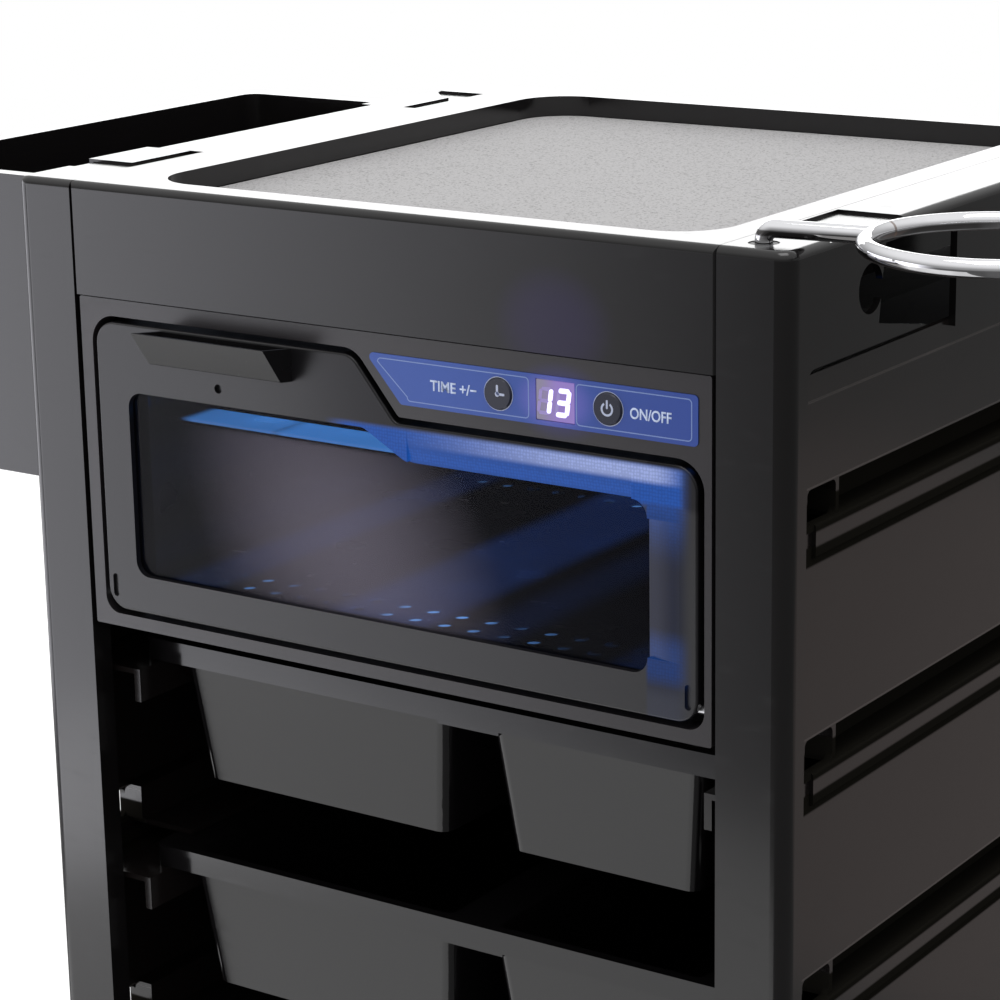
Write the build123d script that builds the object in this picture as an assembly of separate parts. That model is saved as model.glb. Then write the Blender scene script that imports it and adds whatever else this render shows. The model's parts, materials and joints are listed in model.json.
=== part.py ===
"""Salon trolley with a UV sterilizer cabinet in its top bay, one STEP file per physical piece.

Every piece is drawn from the middle of the cart's top front edge: X to the right, Y to the back,
Z up, so that everything below the rim is negative. place() then moves it to the floor frame.
"""
import os
from math import cos, pi, radians, sin

from build123d import *

# Whole cart
CART_WIDTH = 385.0
CART_DEPTH = 350.0
RIM_HEIGHT = 830.0
FIT_GAP = 0.3
RUNNING_GAP = 0.05
PRESS_GAP = 0.02
CUT_MARGIN = 5.0

# Side frames: posts, skirt and sill in one moulding
POST_WIDTH = 31.5
POST_DEPTH = 11.5
POST_LIP = 14.0
FRAME_WALL = 3.0
FRAME_CORNER = 7.0
RIM_ROUNDING = 3.5
OPENING_CORNER = 5.0
SKIRT_HEIGHT = 47.0
SKIRT_DEEP_HEIGHT = 52.5
FRAME_LIP_HEIGHT = 30.0
FRAME_FOOT_CLEARANCE = 80.0
SILL_HEIGHT = 38.0
SILL_FLANGE_HEIGHT = 25.0

# Accessory points on the skirts: sunk seat, round hole and open notch, front and rear
SEAT_FRONT = 32.0
SEAT_LENGTH = 61.0
SEAT_DEPTH = 1.2
SEAT_MARGIN = 1.5
ACCESSORY_HOLE_DIAMETER = 20.0
ACCESSORY_HOLE_FROM_FRONT = 64.0
ACCESSORY_HOLE_DROP = 24.0
NOTCH_FRONT = 76.0
NOTCH_BACK = 139.0
NOTCH_DROP = 8.0
NOTCH_SLOPE = 5.0
NOTCH_TOE_DROP = 39.0
NOTCH_MOUTH = 113.0

# Side panels and the rails moulded on them
PANEL_INSET = 3.0
PANEL_WALL = 3.0
PANEL_TOP_DROP = 50.0
PANEL_FOOT_GAP = 5.0
BAND_DROP = 66.5
BAND_HEIGHT = 6.0
BAND_PROUD = 0.6
RAIL_FIRST_DROP = 109.0
LOWEST_RAIL_HEIGHT = 216.0
TRAY_COUNT = 5
RAIL_FRONT = 14.5
RAIL_REACH = 45.0
RAIL_PLATE = 2.5
RAIL_CHANNEL = 11.0
RAIL_WEB = 3.5
RAIL_WEB_HEIGHT = 15.5
GUIDE_FRONT = 45.0
RAIL_GUSSET = 2.0
RAIL_GUSSETS = 3
RAIL_REAR_BLOCK = 6.0
POCKET_HEIGHT = 14.0
POCKET_DEPTH = 11.0
POCKET_FRONT = 20.0
POCKET_SLOT_LENGTH = 23.0
LIP_PROUD = 1.8
LIP_FRONT = 16.0
LIP_BAND_FRONT = 24.0
LIP_ROUNDING = 1.2

# Top tray and mat
APRON_HEIGHT = 49.4
SEAM_EASING = 1.2
RIM_LEFT = 59.5
RIM_RIGHT = 46.5
RIM_FRONT = 17.0
SUNK_DEPTH = 12.0
SUNK_CORNER = 25.0
MAT_THICKNESS = 2.0
MAT_GAP = 1.0
TOP_WALL = 3.0

# Trays
TRAY_FRONT = 29.0
TRAY_LENGTH = 300.0
TRAY_SIDE_GAP = 35.5
TRAY_ROLL_HEIGHT = 10.2
TRAY_WALL = 2.5
TRAY_CORNER = 5.0
TRAY_PLAY = 0.5
BIN_SIDE_GAP = 55.1
BIN_DEPTH = 66.0
BIN_REAR_GAP = 4.5
BIN_TAPER = 7.0
BIN_CORNER = 6.0
DIVIDER_FROM_MIDDLE = 21.2
DIVIDER_WIDTH = 19.6
BRIDGE_DROP = 2.5

# Base and castors
BASE_HEIGHT = 36.0
BASE_FRONT = 5.0
BASE_WALL = 3.0
BASE_CORNER = 12.0
CASTOR_HEIGHT = 76.0
CASTOR_FROM_SIDE = 54.5
CASTOR_FROM_FRONT = 50.0
CASTOR_TRAIL = 18.0
WHEEL_DIAMETER = 50.0
WHEEL_WIDTH = 12.0
WHEEL_GAP = 0.6
TREAD_CHAMFER = 2.0
HUB_RECESS_DEPTH = 3.0
HUB_RECESS_DIAMETER = 34.0
HUB_CAP_DIAMETER = 14.0
AXLE_DIAMETER = 6.0
HOOD_WIDTH = 14.0
HOOD_THICKNESS = 2.0
HOOD_GAP = 2.5
HOOD_COVER_WIDTH = 40.0
SOCKET_DIAMETER = 22.0
STEM_DIAMETER = 11.0
STEM_UP = 30.0
STEM_DOWN = 22.0
STEM_COLLAR_DIAMETER = 18.0
STEM_COLLAR_HEIGHT = 3.0
BOSS_DIAMETER = 24.0

# Back panel
BACK_INSET = 4.5
BACK_WALL = 2.5
BACK_FLANGE = 7.0
BACK_TOP_DROP = 206.0
RIB_COUNT = 4
RIB_HEIGHT = 1.6
RIB_WIDTH = 10.0

# UV module bezel
BEZEL_GAP = 2.2
BEZEL_TOP = 50.0
BEZEL_BOTTOM = 198.5
BEZEL_FRONT = 0.8
BEZEL_PLATE = 3.0
BEZEL_RETURN = 2.5
BEZEL_BACK = 11.7
BEZEL_CORNER = 1.0
DOOR_GAP = 2.6
OPENING_FOOT_CORNER = 5.0

# Drop-down door
DOOR_LEFT_MARGIN = 8.8
DOOR_RIGHT_MARGIN = 5.8
DOOR_TOP = 60.0
DOOR_STEP_TOP = 86.3
DOOR_BOTTOM = 190.0
STEP_START = 139.0
STEP_RUN = 21.5
DOOR_CORNER = 10.0
STEP_CORNER = 5.0
DOOR_PLATE = 2.8
DOOR_SKIRT = 2.5
DOOR_DEPTH = 10.0
DOOR_EDGE_ROUNDING = 1.0
WINDOW_LEFT_MARGIN = 17.0
WINDOW_RIGHT_MARGIN = 22.7
WINDOW_TOP = 90.0
WINDOW_STEP_TOP = 102.3
WINDOW_BOTTOM = 173.0
WINDOW_STEP_START = 127.0
WINDOW_STEP_RUN = 22.0
WINDOW_CORNER = 7.0
PANE_THICKNESS = 2.5
PANE_OVERLAP = 5.0
RETAINER_THICKNESS = 1.5
RETAINER_OVERLAP = 7.0
RETAINER_MARGIN = 1.0
ROUNDOVER_WIDTH = 14.5
ROUNDOVER_DEPTH = 1.8
DIMPLE_DIAMETER = 4.0
DIMPLE_FROM_LEFT = 67.8
DIMPLE_DROP = 82.8
HINGE_SLOT_WIDTH = 3.0
HINGE_SLOT_HEIGHT = 10.5
HINGE_SLOT_FROM_SIDE = 2.8
HINGE_SLOT_DROP = 179.2
HINGE_PIN_DIAMETER = 4.0
HINGE_BOSS_DIAMETER = 9.0
HINGE_BOSS_LENGTH = 7.0
HINGE_FROM_FRONT = 5.2
HINGE_DROP = 184.8

# Scoop handle on the door
HANDLE_FROM_LEFT = 37.0
HANDLE_LENGTH = 71.0
HANDLE_TOP = 58.5
HANDLE_BOTTOM = 74.0
HANDLE_REACH_TOP = 19.0
HANDLE_REACH_BOTTOM = 7.8
HANDLE_WALL = 1.8

# Control label, display and buttons, measured back from the label's right edge
LABEL_THICKNESS = 0.4
LABEL_TOP = 58.0
LABEL_BOTTOM = 78.2
LABEL_SLOPE = 17.7
LABEL_FROM_STEP = 6.7
LABEL_CORNER = 2.0
BUTTON_DIAMETER = 13.0
BUTTON_FLANGE_DIAMETER = 15.0
BUTTON_FLANGE_THICKNESS = 1.1
BUTTON_PROUD = 1.4
BUTTON_TRAVEL = 0.5
BUTTON_PLAY = 0.15
BUTTON_DROP = 68.0
POWER_BUTTON_BACK = 40.2
TIME_BUTTON_BACK = 91.5
DISPLAY_BACK = 64.8
DISPLAY_WIDTH = 17.6
DISPLAY_HEIGHT = 16.0
BOARD_FRONT = 8.5
BOARD_THICKNESS = 1.6
BOARD_LENGTH = 110.0
BOARD_HEIGHT = 20.0
BOARD_BOSS_DIAMETER = 4.5
BOARD_BOSS_MARGIN = 3.2
SWITCH_SIZE = 6.0

# Module housing and chamber
HOUSING_SIDE_GAP = 49.5
HOUSING_TOP = 53.0
HOUSING_BOTTOM = 197.0
HOUSING_FRONT = 12.5
HOUSING_BACK = 338.0
HOUSING_WALL = 2.0
RUNNER_WIDTH = 12.5
RUNNER_HEIGHT = 10.2
CHAMBER_WALL = 1.5
CHAMBER_SIDE_GAP = 3.0
CHAMBER_TOP = 58.5
CHAMBER_BOTTOM = 191.5
CHAMBER_BACK = 250.0
MOUTH_SIDE_MARGIN = 3.5
MOUTH_TOP = 86.0
MOUTH_BOTTOM = 186.0
VENT_COUNT = 9
VENT_PITCH = 9.0
VENT_WIDTH = 3.5
VENT_HEIGHT = 34.0

# Lamp and what carries it
LAMP_SIDE_ROOM = 18.5
LAMP_DIAMETER = 16.0
LAMP_FROM_FRONT = 30.0
LAMP_DROP = 76.0
LAMP_PIN_DIAMETER = 2.4
LAMP_PIN_LENGTH = 6.0
LAMP_PIN_SPACING = 5.0
HOLDER_WIDTH = 11.7
HOLDER_DEPTH = 20.0
HOLDER_HEIGHT = 28.0
REFLECTOR_RADIUS = 13.2
REFLECTOR_THICKNESS = 0.8
SHIELD_DROP = 104.0
SHIELD_DEPTH = 20.0
SHIELD_THICKNESS = 1.2
SHIELD_TAB = 12.0
BALLAST_LENGTH = 130.0
BALLAST_DEPTH = 38.0
BALLAST_HEIGHT = 28.0

# Perforated shelf
SHELF_DROP = 178.0
SHELF_THICKNESS = 1.2
SHELF_FRONT = 17.0
SHELF_HOLE_DIAMETER = 7.0
SHELF_HOLE_SIDES = 12
SHELF_SIDE_MARGIN = 16.2
SHELF_ROW_PITCH = 13.0
SHELF_FIRST_ROW = 25.0
SHELF_COLUMNS = 17

# Door catch and door switch
MAGNET_FROM_LEFT = 72.0
MAGNET_LENGTH = 16.0
MAGNET_HEIGHT = 8.0
MAGNET_THICKNESS = 2.3
MAGNET_DROP = 68.0
STRIKE_THICKNESS = 1.5
DOOR_SWITCH_WIDTH = 10.0
DOOR_SWITCH_HEIGHT = 12.0
DOOR_SWITCH_DEPTH = 5.5
DOOR_SWITCH_FROM_LEFT = 24.0
PLUNGER_DIAMETER = 3.0

# Power inlet on the back of the module
INLET_WIDTH = 27.0
INLET_HEIGHT = 20.0
INLET_DEPTH = 22.0
INLET_FLANGE = 4.0
INLET_FLANGE_THICKNESS = 2.5
INLET_FROM_MIDDLE = 88.0
INLET_DROP = 160.0
INLET_PIN_SPACING = 7.0
INLET_PIN_DIAMETER = 3.0

# Hair-dryer ring
RING_RADIUS = 48.5
WIRE_DIAMETER = 7.0
WIRE_ABOVE_RIM = 5.6
RING_BEND = 4.6
RING_PIN_FROM_EDGE = 19.5
RING_PIN_FROM_FRONT = 14.6
RING_CENTRE_OUT = 71.2
RING_CENTRE_FROM_FRONT = 26.2
RING_PIN_LENGTH = 28.0
BUSH_WALL = 2.4
BUSH_LENGTH = 24.0
BUSH_BOSS_WALL = 2.0

# Side bin
SIDE_BIN_GAP = 1.0
SIDE_BIN_FROM_FRONT = 40.0
SIDE_BIN_TOP = 7.0
SIDE_BIN_BOTTOM = 151.0
SIDE_BIN_WALL = 2.5
SIDE_BIN_RIM = 5.0
SIDE_BIN_TAPER = 5.0
SIDE_BIN_CORNER = 10.0
TONGUE_LENGTH = 40.0
TONGUE_REACH = 22.0
TONGUE_PLAY = 0.5
TONGUE_BRIDGE = 6.0
PLUG_LENGTH = 3.5

# Screws
SCREW_DIAMETER = 4.0
SCREW_HEAD_DIAMETER = 8.0
SCREW_HEAD_HEIGHT = 2.4
SCREW_LENGTH = 8.0
BACK_SCREW_LENGTH = 13.0

# Places that follow from the sizes above
HALF = CART_WIDTH / 2
FLOOR = -RIM_HEIGHT
POST_INNER = HALF - POST_WIDTH
PANEL_FACE = HALF - PANEL_INSET
PANEL_BACK = PANEL_FACE - PANEL_WALL
FRAME_FOOT = FLOOR + FRAME_FOOT_CLEARANCE
SILL_TOP = FRAME_FOOT + SILL_HEIGHT
RAIL_PITCH = (RIM_HEIGHT - RAIL_FIRST_DROP - LOWEST_RAIL_HEIGHT) / TRAY_COUNT
RAIL_INNER = HALF - RAIL_REACH
RAIL_BACK_END = CART_DEPTH - RAIL_FRONT
BEZEL_HALF = POST_INNER - BEZEL_GAP
DOOR_LEFT = -BEZEL_HALF + DOOR_LEFT_MARGIN
DOOR_RIGHT = BEZEL_HALF - DOOR_RIGHT_MARGIN
WINDOW_LEFT = DOOR_LEFT + WINDOW_LEFT_MARGIN
WINDOW_RIGHT = DOOR_RIGHT - WINDOW_RIGHT_MARGIN
LABEL_LEFT = DOOR_LEFT + STEP_START + LABEL_FROM_STEP
LABEL_RIGHT = DOOR_RIGHT
HOUSING_HALF = HALF - HOUSING_SIDE_GAP
CHAMBER_HALF = HOUSING_HALF - HOUSING_WALL - CHAMBER_SIDE_GAP
CHAMBER_FRONT = HOUSING_FRONT + FIT_GAP
CHAMBER_CEILING = -CHAMBER_TOP - CHAMBER_WALL
LAMP_HALF = CHAMBER_HALF - CHAMBER_WALL - LAMP_SIDE_ROOM - HOLDER_WIDTH - FIT_GAP
PANE_FRONT = DOOR_PLATE
RING_X = HALF + RING_CENTRE_OUT
RING_PIN_X = HALF - RING_PIN_FROM_EDGE
RING_OUTER = RING_RADIUS + WIRE_DIAMETER / 2
SIDE_REACH = RING_X + RING_OUTER
FRONT_REACH = RING_OUTER - RING_CENTRE_FROM_FRONT
FRONT_Y = (FRONT_REACH - CART_DEPTH) / 2
BASE_BOTTOM = FLOOR + CASTOR_HEIGHT
BASE_TOP = BASE_BOTTOM + BASE_HEIGHT
WHEEL_RADIUS = WHEEL_DIAMETER / 2
STEM_FOOT = BASE_BOTTOM - STEM_COLLAR_HEIGHT


def block(x0, x1, y0, y1, z0, z1):
    """Box between two opposite corners."""
    return Pos((x0 + x1) / 2, (y0 + y1) / 2, (z0 + z1) / 2) * Box(x1 - x0, y1 - y0, z1 - z0)


def rod(start, direction, radius, length):
    """Round bar from a point along a direction."""
    return Solid.make_cylinder(radius, length, Plane(origin=start, z_dir=direction))


def mirrored(shape):
    """The same piece on the other side of the cart."""
    return mirror(shape, about=Plane.YZ)


def front_to_back(shape):
    """The same form at the other end of the cart's depth."""
    return mirror(shape, about=Plane(origin=(0, CART_DEPTH / 2, 0), z_dir=(0, 1, 0)))


def outline(corners):
    """Flat face through corners given as (first, second, radius)."""
    points = [(a, b) for a, b, _ in corners]
    return make_face(FilletPolyline(*points, radius=[r for _, _, r in corners], close=True))


def front_slab(face, y0, y1):
    """Thicken a face drawn in front view, as (X, Z), from one depth to another."""
    plane = Plane(origin=(0, y0, 0), x_dir=(1, 0, 0), z_dir=(0, -1, 0))
    return extrude(plane * face, amount=-(y1 - y0))


def side_slab(face, x0, x1):
    """Thicken a face drawn in side view, as (Y, Z), from one X to another."""
    plane = Plane(origin=(x0, 0, 0), x_dir=(0, 1, 0), z_dir=(1, 0, 0))
    return extrude(plane * face, amount=x1 - x0)


def plan_slab(face, z0, z1):
    """Thicken a face drawn in plan, as (X, Y), from one height to another."""
    return extrude(Pos(0, 0, z0) * face, amount=z1 - z0)


def plan_rectangle(x0, x1, y0, y1, radius):
    """Rounded rectangle in plan."""
    return Pos((x0 + x1) / 2, (y0 + y1) / 2) * RectangleRounded(x1 - x0, y1 - y0, radius)


def tub(x0, x1, y0, y1, z_top, z_bottom, taper, corner, wall):
    """Tapered open-topped bin; taper holds the inward lean of its left, right, front and back."""
    left, right, front, back = taper
    top = Pos(0, 0, z_top) * plan_rectangle(x0, x1, y0, y1, corner)
    foot = Pos(0, 0, z_bottom) * plan_rectangle(x0 + left, x1 - right, y0 + front, y1 - back, corner)
    hollow_top = Pos(0, 0, z_top) * plan_rectangle(x0 + wall, x1 - wall, y0 + wall, y1 - wall, corner - wall)
    hollow_foot = Pos(0, 0, z_bottom + wall) * plan_rectangle(
        x0 + left + wall, x1 - right - wall, y0 + front + wall, y1 - back - wall, corner - wall)
    return loft([foot, top]), loft([hollow_foot, hollow_top])


def skirt_opening():
    """Side view of the opening between posts, skirt and sill, with the accessory notches."""
    middle = CART_DEPTH / 2
    front_half = [
        (POST_LIP, SILL_TOP, OPENING_CORNER),
        (POST_LIP, -SKIRT_HEIGHT, OPENING_CORNER),
        (NOTCH_MOUTH, -SKIRT_HEIGHT, 0),
        (NOTCH_FRONT - NOTCH_SLOPE, -NOTCH_TOE_DROP, 0),
        (NOTCH_FRONT, -NOTCH_DROP, 0),
        (NOTCH_BACK, -NOTCH_DROP, 0),
        (NOTCH_BACK, -SKIRT_DEEP_HEIGHT, 0),
    ]
    rear_half = [(2 * middle - y, z, radius) for y, z, radius in reversed(front_half)]
    return outline(front_half + rear_half)


def side_frame(with_ring_boss):
    """Right side frame: two posts, skirt and sill."""
    shell = plan_slab(plan_rectangle(POST_INNER, HALF, 0, CART_DEPTH, FRAME_CORNER), FRAME_FOOT, 0)
    inner_strip = block(POST_INNER, POST_INNER + FRAME_CORNER, 0, CART_DEPTH, FRAME_FOOT, 0)
    shell += inner_strip
    rim_edges = [edge for edge in shell.edges().group_by(Axis.Z)[-1]
                 if edge.center().X > POST_INNER + FRAME_CORNER or edge.length > POST_WIDTH / 2
                 and edge.center().X > POST_INNER + FIT_GAP]
    shell = fillet(rim_edges, RIM_ROUNDING)
    inside = POST_INNER + FRAME_WALL
    shell -= side_slab(skirt_opening(), PANEL_BACK, HALF + 1)
    shell -= block(PANEL_BACK - FIT_GAP, PANEL_FACE, POST_LIP, CART_DEPTH - POST_LIP,
                   FRAME_FOOT + FRAME_WALL, -FRAME_WALL)
    shell -= block(inside, PANEL_BACK, POST_DEPTH, CART_DEPTH - POST_DEPTH, FRAME_FOOT + FRAME_WALL, -FRAME_WALL)
    shell -= block(POST_INNER - 1, inside, POST_DEPTH, CART_DEPTH - POST_DEPTH,
                   FRAME_FOOT + SILL_FLANGE_HEIGHT, -FRAME_LIP_HEIGHT)
    channel = block(inside, PANEL_BACK - FIT_GAP - FRAME_WALL, FRAME_WALL, POST_DEPTH,
                    FRAME_FOOT + FRAME_WALL, -FRAME_WALL)
    shell -= channel
    shell -= front_to_back(channel)
    seat = block(POST_INNER + SEAT_MARGIN, HALF + 1, SEAT_FRONT, SEAT_FRONT + SEAT_LENGTH, -SEAT_DEPTH, 1)
    hole = rod((PANEL_FACE - 1, ACCESSORY_HOLE_FROM_FRONT, -ACCESSORY_HOLE_DROP), (1, 0, 0),
               ACCESSORY_HOLE_DIAMETER / 2, FRAME_WALL + 2)
    for cut in (seat, hole):
        shell -= cut
        shell -= front_to_back(cut)
    for z in screw_heights():
        for y in screw_depths():
            shell -= rod((POST_INNER - 1, y, z), (1, 0, 0), SCREW_DIAMETER / 2 + FIT_GAP, FRAME_WALL + 2)
    if with_ring_boss:
        bush_radius = WIRE_DIAMETER / 2 + RUNNING_GAP + BUSH_WALL + PRESS_GAP
        centre = (RING_PIN_X, RING_PIN_FROM_FRONT, -BUSH_LENGTH)
        shell += rod(centre, (0, 0, 1), bush_radius + BUSH_BOSS_WALL, BUSH_LENGTH - FRAME_WALL / 2)
        shell -= rod((RING_PIN_X, RING_PIN_FROM_FRONT, -BUSH_LENGTH - 1), (0, 0, 1), bush_radius, BUSH_LENGTH + 2)
    return shell


def screw_heights():
    """Height of the frame screws in the sill flange."""
    return [FRAME_FOOT + SILL_FLANGE_HEIGHT / 2]


def screw_depths():
    """Depths of the frame screws along the sill."""
    return [CASTOR_FROM_FRONT - BOSS_DIAMETER, CART_DEPTH / 3, CART_DEPTH * 2 / 3,
            CART_DEPTH - CASTOR_FROM_FRONT + BOSS_DIAMETER]


def rail_level(lip):
    """One tray level of the right side panel: pocket, lip, upper guide, ledge, web and gussets."""
    slot_end = POCKET_FRONT + POCKET_SLOT_LENGTH
    pocket_back = CART_DEPTH - POCKET_FRONT
    pocket_inner = PANEL_FACE - POCKET_DEPTH
    ledge = lip - RAIL_PLATE - RAIL_CHANNEL
    web_foot = ledge - RAIL_WEB_HEIGHT
    solid = block(RAIL_INNER, PANEL_BACK, GUIDE_FRONT, RAIL_BACK_END, lip - RAIL_PLATE, lip)
    solid += block(pocket_inner - RAIL_PLATE, PANEL_BACK, slot_end, pocket_back,
                   lip, lip + POCKET_HEIGHT + RAIL_PLATE)
    solid += block(RAIL_INNER, PANEL_BACK, RAIL_FRONT, RAIL_BACK_END, ledge - RAIL_PLATE, ledge)
    solid += block(RAIL_INNER, RAIL_INNER + RAIL_WEB, RAIL_FRONT, RAIL_BACK_END, web_foot, ledge)
    solid += block(RAIL_INNER, PANEL_BACK, RAIL_BACK_END - RAIL_REAR_BLOCK, RAIL_BACK_END, web_foot, ledge)
    for index in range(RAIL_GUSSETS):
        y = RAIL_FRONT + (RAIL_BACK_END - RAIL_FRONT) * (index + 1) / (RAIL_GUSSETS + 1)
        solid += block(RAIL_INNER, PANEL_BACK, y, y + RAIL_GUSSET, web_foot, ledge)
    band = block(PANEL_FACE, PANEL_FACE + LIP_PROUD, LIP_BAND_FRONT, CART_DEPTH - LIP_BAND_FRONT,
                 lip - RAIL_PLATE - RAIL_CHANNEL, lip)
    band = fillet(band.edges().filter_by(Axis.Y).group_by(Axis.X)[-1], LIP_ROUNDING)
    solid += band
    solid += block(PANEL_FACE, PANEL_FACE + LIP_PROUD / 2, LIP_FRONT, CART_DEPTH - LIP_FRONT,
                   lip - RAIL_PLATE, lip)
    pocket = block(pocket_inner, PANEL_FACE + LIP_PROUD + 1, slot_end + RAIL_PLATE, pocket_back - RAIL_PLATE,
                   lip, lip + POCKET_HEIGHT)
    corner = POCKET_HEIGHT / 5
    slot = side_slab(outline([(POCKET_FRONT, lip, corner), (slot_end, lip, corner),
                              (slot_end, lip + POCKET_HEIGHT, corner),
                              (POCKET_FRONT, lip + POCKET_HEIGHT, corner)]), PANEL_BACK - 1, PANEL_FACE + 1)
    screw_x, screw_z = back_screw_place(lip)
    screw_hole = rod((screw_x, RAIL_BACK_END + 1, screw_z), (0, -1, 0), SCREW_DIAMETER / 2 + PRESS_GAP,
                     BACK_SCREW_LENGTH - BACK_INSET)
    return solid, pocket + slot + screw_hole


def rail_lips():
    """Heights of the lips, the module's level first, then one for each tray."""
    return [-RAIL_FIRST_DROP - RAIL_PITCH * level for level in range(TRAY_COUNT + 1)]


def side_panel():
    """Right side panel with its rails."""
    skin_edge = POST_LIP + FIT_GAP
    foot = FRAME_FOOT + PANEL_FOOT_GAP
    panel = block(PANEL_BACK, PANEL_FACE, skin_edge, CART_DEPTH - skin_edge, foot, -PANEL_TOP_DROP)
    panel += block(PANEL_FACE, PANEL_FACE + BAND_PROUD, skin_edge, CART_DEPTH - skin_edge,
                   -BAND_DROP, -BAND_DROP + BAND_HEIGHT)
    for lip in rail_lips():
        solid, cut = rail_level(lip)
        panel = panel + solid - cut
    return panel


def top_tray():
    """Rim, sunk floor, front and rear aprons in one moulding."""
    half = POST_INNER - FIT_GAP
    tray = block(-half, half, 0, CART_DEPTH, -APRON_HEIGHT, 0)
    tray = chamfer(tray.edges().filter_by(Axis.Z), SEAM_EASING)
    front, rear = tray.edges().filter_by(Axis.X).group_by(Axis.Z)[-1].sort_by(Axis.Y)
    tray = fillet([front, rear], RIM_ROUNDING)
    tray -= block(-half + TOP_WALL, half - TOP_WALL, TOP_WALL, CART_DEPTH - TOP_WALL,
                  -APRON_HEIGHT - 1, -TOP_WALL)
    tray -= block(-half - 1, half + 1, POST_DEPTH, CART_DEPTH - POST_DEPTH,
                  -APRON_HEIGHT - 1, -FRAME_LIP_HEIGHT)
    wall = TOP_WALL
    floor_block = plan_rectangle(-HALF + RIM_LEFT - wall, HALF - RIM_RIGHT + wall,
                                 RIM_FRONT - wall, CART_DEPTH - RIM_FRONT + wall, SUNK_CORNER + wall)
    tray += plan_slab(floor_block, -SUNK_DEPTH - wall, -wall / 2)
    tray -= plan_slab(sunk_plan(0), -SUNK_DEPTH, 1)
    return tray


def sunk_plan(gap):
    """Plan of the sunk floor, drawn in by a gap."""
    return plan_rectangle(-HALF + RIM_LEFT + gap, HALF - RIM_RIGHT - gap,
                          RIM_FRONT + gap, CART_DEPTH - RIM_FRONT - gap, SUNK_CORNER - gap)


def rubber_mat():
    """Mat on the sunk floor."""
    return plan_slab(sunk_plan(MAT_GAP), -SUNK_DEPTH, -SUNK_DEPTH + MAT_THICKNESS)


def tray(lip):
    """Sliding tray: flange with rolled edge and two tapered bins of unequal width."""
    top = lip - RAIL_PLATE - TRAY_PLAY
    half = HALF - TRAY_SIDE_GAP
    back = TRAY_FRONT + TRAY_LENGTH
    flange = plan_slab(plan_rectangle(-half, half, TRAY_FRONT, back, TRAY_CORNER), top - TRAY_ROLL_HEIGHT, top)
    flange -= plan_slab(plan_rectangle(-half + TRAY_WALL, half - TRAY_WALL, TRAY_FRONT + TRAY_WALL,
                                       back - TRAY_WALL, TRAY_CORNER - TRAY_WALL),
                        top - TRAY_ROLL_HEIGHT - 1, top - TRAY_WALL)
    bin_half = HALF - BIN_SIDE_GAP
    split_left = DIVIDER_FROM_MIDDLE - DIVIDER_WIDTH / 2
    split_right = DIVIDER_FROM_MIDDLE + DIVIDER_WIDTH / 2
    front = TRAY_FRONT + TRAY_WALL
    rear = back - BIN_REAR_GAP
    shells = [tub(x0, x1, front, rear, top, top - BIN_DEPTH, (BIN_TAPER,) * 4, BIN_CORNER, TRAY_WALL)
              for x0, x1 in ((-bin_half, split_left), (split_right, bin_half))]
    bridge = block(split_left - BIN_CORNER, split_right + BIN_CORNER, front, front + TRAY_WALL,
                   top - TRAY_ROLL_HEIGHT - BRIDGE_DROP, top)
    body = flange + bridge
    for outer, _ in shells:
        body += outer
    for _, hollow in shells:
        body -= hollow
    return body


def base():
    """Moulded base: shallow inverted tray with castor bosses and cross ribs."""
    half = POST_INNER - FIT_GAP
    front, back = BASE_FRONT, CART_DEPTH - BASE_FRONT
    body = plan_slab(plan_rectangle(-half, half, front, back, BASE_CORNER), BASE_BOTTOM, BASE_TOP)
    body = fillet(body.edges().group_by(Axis.Z)[-1], BASE_WALL)
    body -= plan_slab(plan_rectangle(-half + BASE_WALL, half - BASE_WALL, front + BASE_WALL, back - BASE_WALL,
                                     BASE_CORNER - BASE_WALL), BASE_BOTTOM - 1, BASE_TOP - BASE_WALL)
    body += block(-half + 1, half - 1, CART_DEPTH / 2 - BASE_WALL / 2, CART_DEPTH / 2 + BASE_WALL / 2,
                  BASE_BOTTOM + BASE_WALL, BASE_TOP - 1)
    body += block(-BASE_WALL / 2, BASE_WALL / 2, front + 1, back - 1, BASE_BOTTOM + BASE_WALL, BASE_TOP - 1)
    for x, y in castor_places():
        body += rod((x, y, BASE_BOTTOM), (0, 0, 1), BOSS_DIAMETER / 2, BASE_HEIGHT - 1)
        body -= rod((x, y, BASE_BOTTOM - 1), (0, 0, 1), STEM_DIAMETER / 2 + PRESS_GAP, STEM_UP + 1)
    for z in screw_heights():
        for y in screw_depths():
            for side in (-1, 1):
                body -= rod((side * (half + 1), y, z), (-side, 0, 0), SCREW_DIAMETER / 2 + PRESS_GAP, SCREW_LENGTH)
    return body


def castor_places():
    """Plan positions of the four castor stems."""
    return [(side * (HALF - CASTOR_FROM_SIDE), y) for y in (CASTOR_FROM_FRONT, CART_DEPTH - CASTOR_FROM_FRONT)
            for side in (-1, 1)]


def castor_stems():
    """Steel stems pressed in the base, collar under it."""
    stems = []
    for x, y in castor_places():
        stem = rod((x, y, STEM_FOOT - STEM_DOWN), (0, 0, 1), STEM_DIAMETER / 2,
                   STEM_DOWN + STEM_COLLAR_HEIGHT + STEM_UP - 1)
        stem += rod((x, y, STEM_FOOT), (0, 0, 1), STEM_COLLAR_DIAMETER / 2, STEM_COLLAR_HEIGHT)
        stems.append(stem)
    return stems


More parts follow.
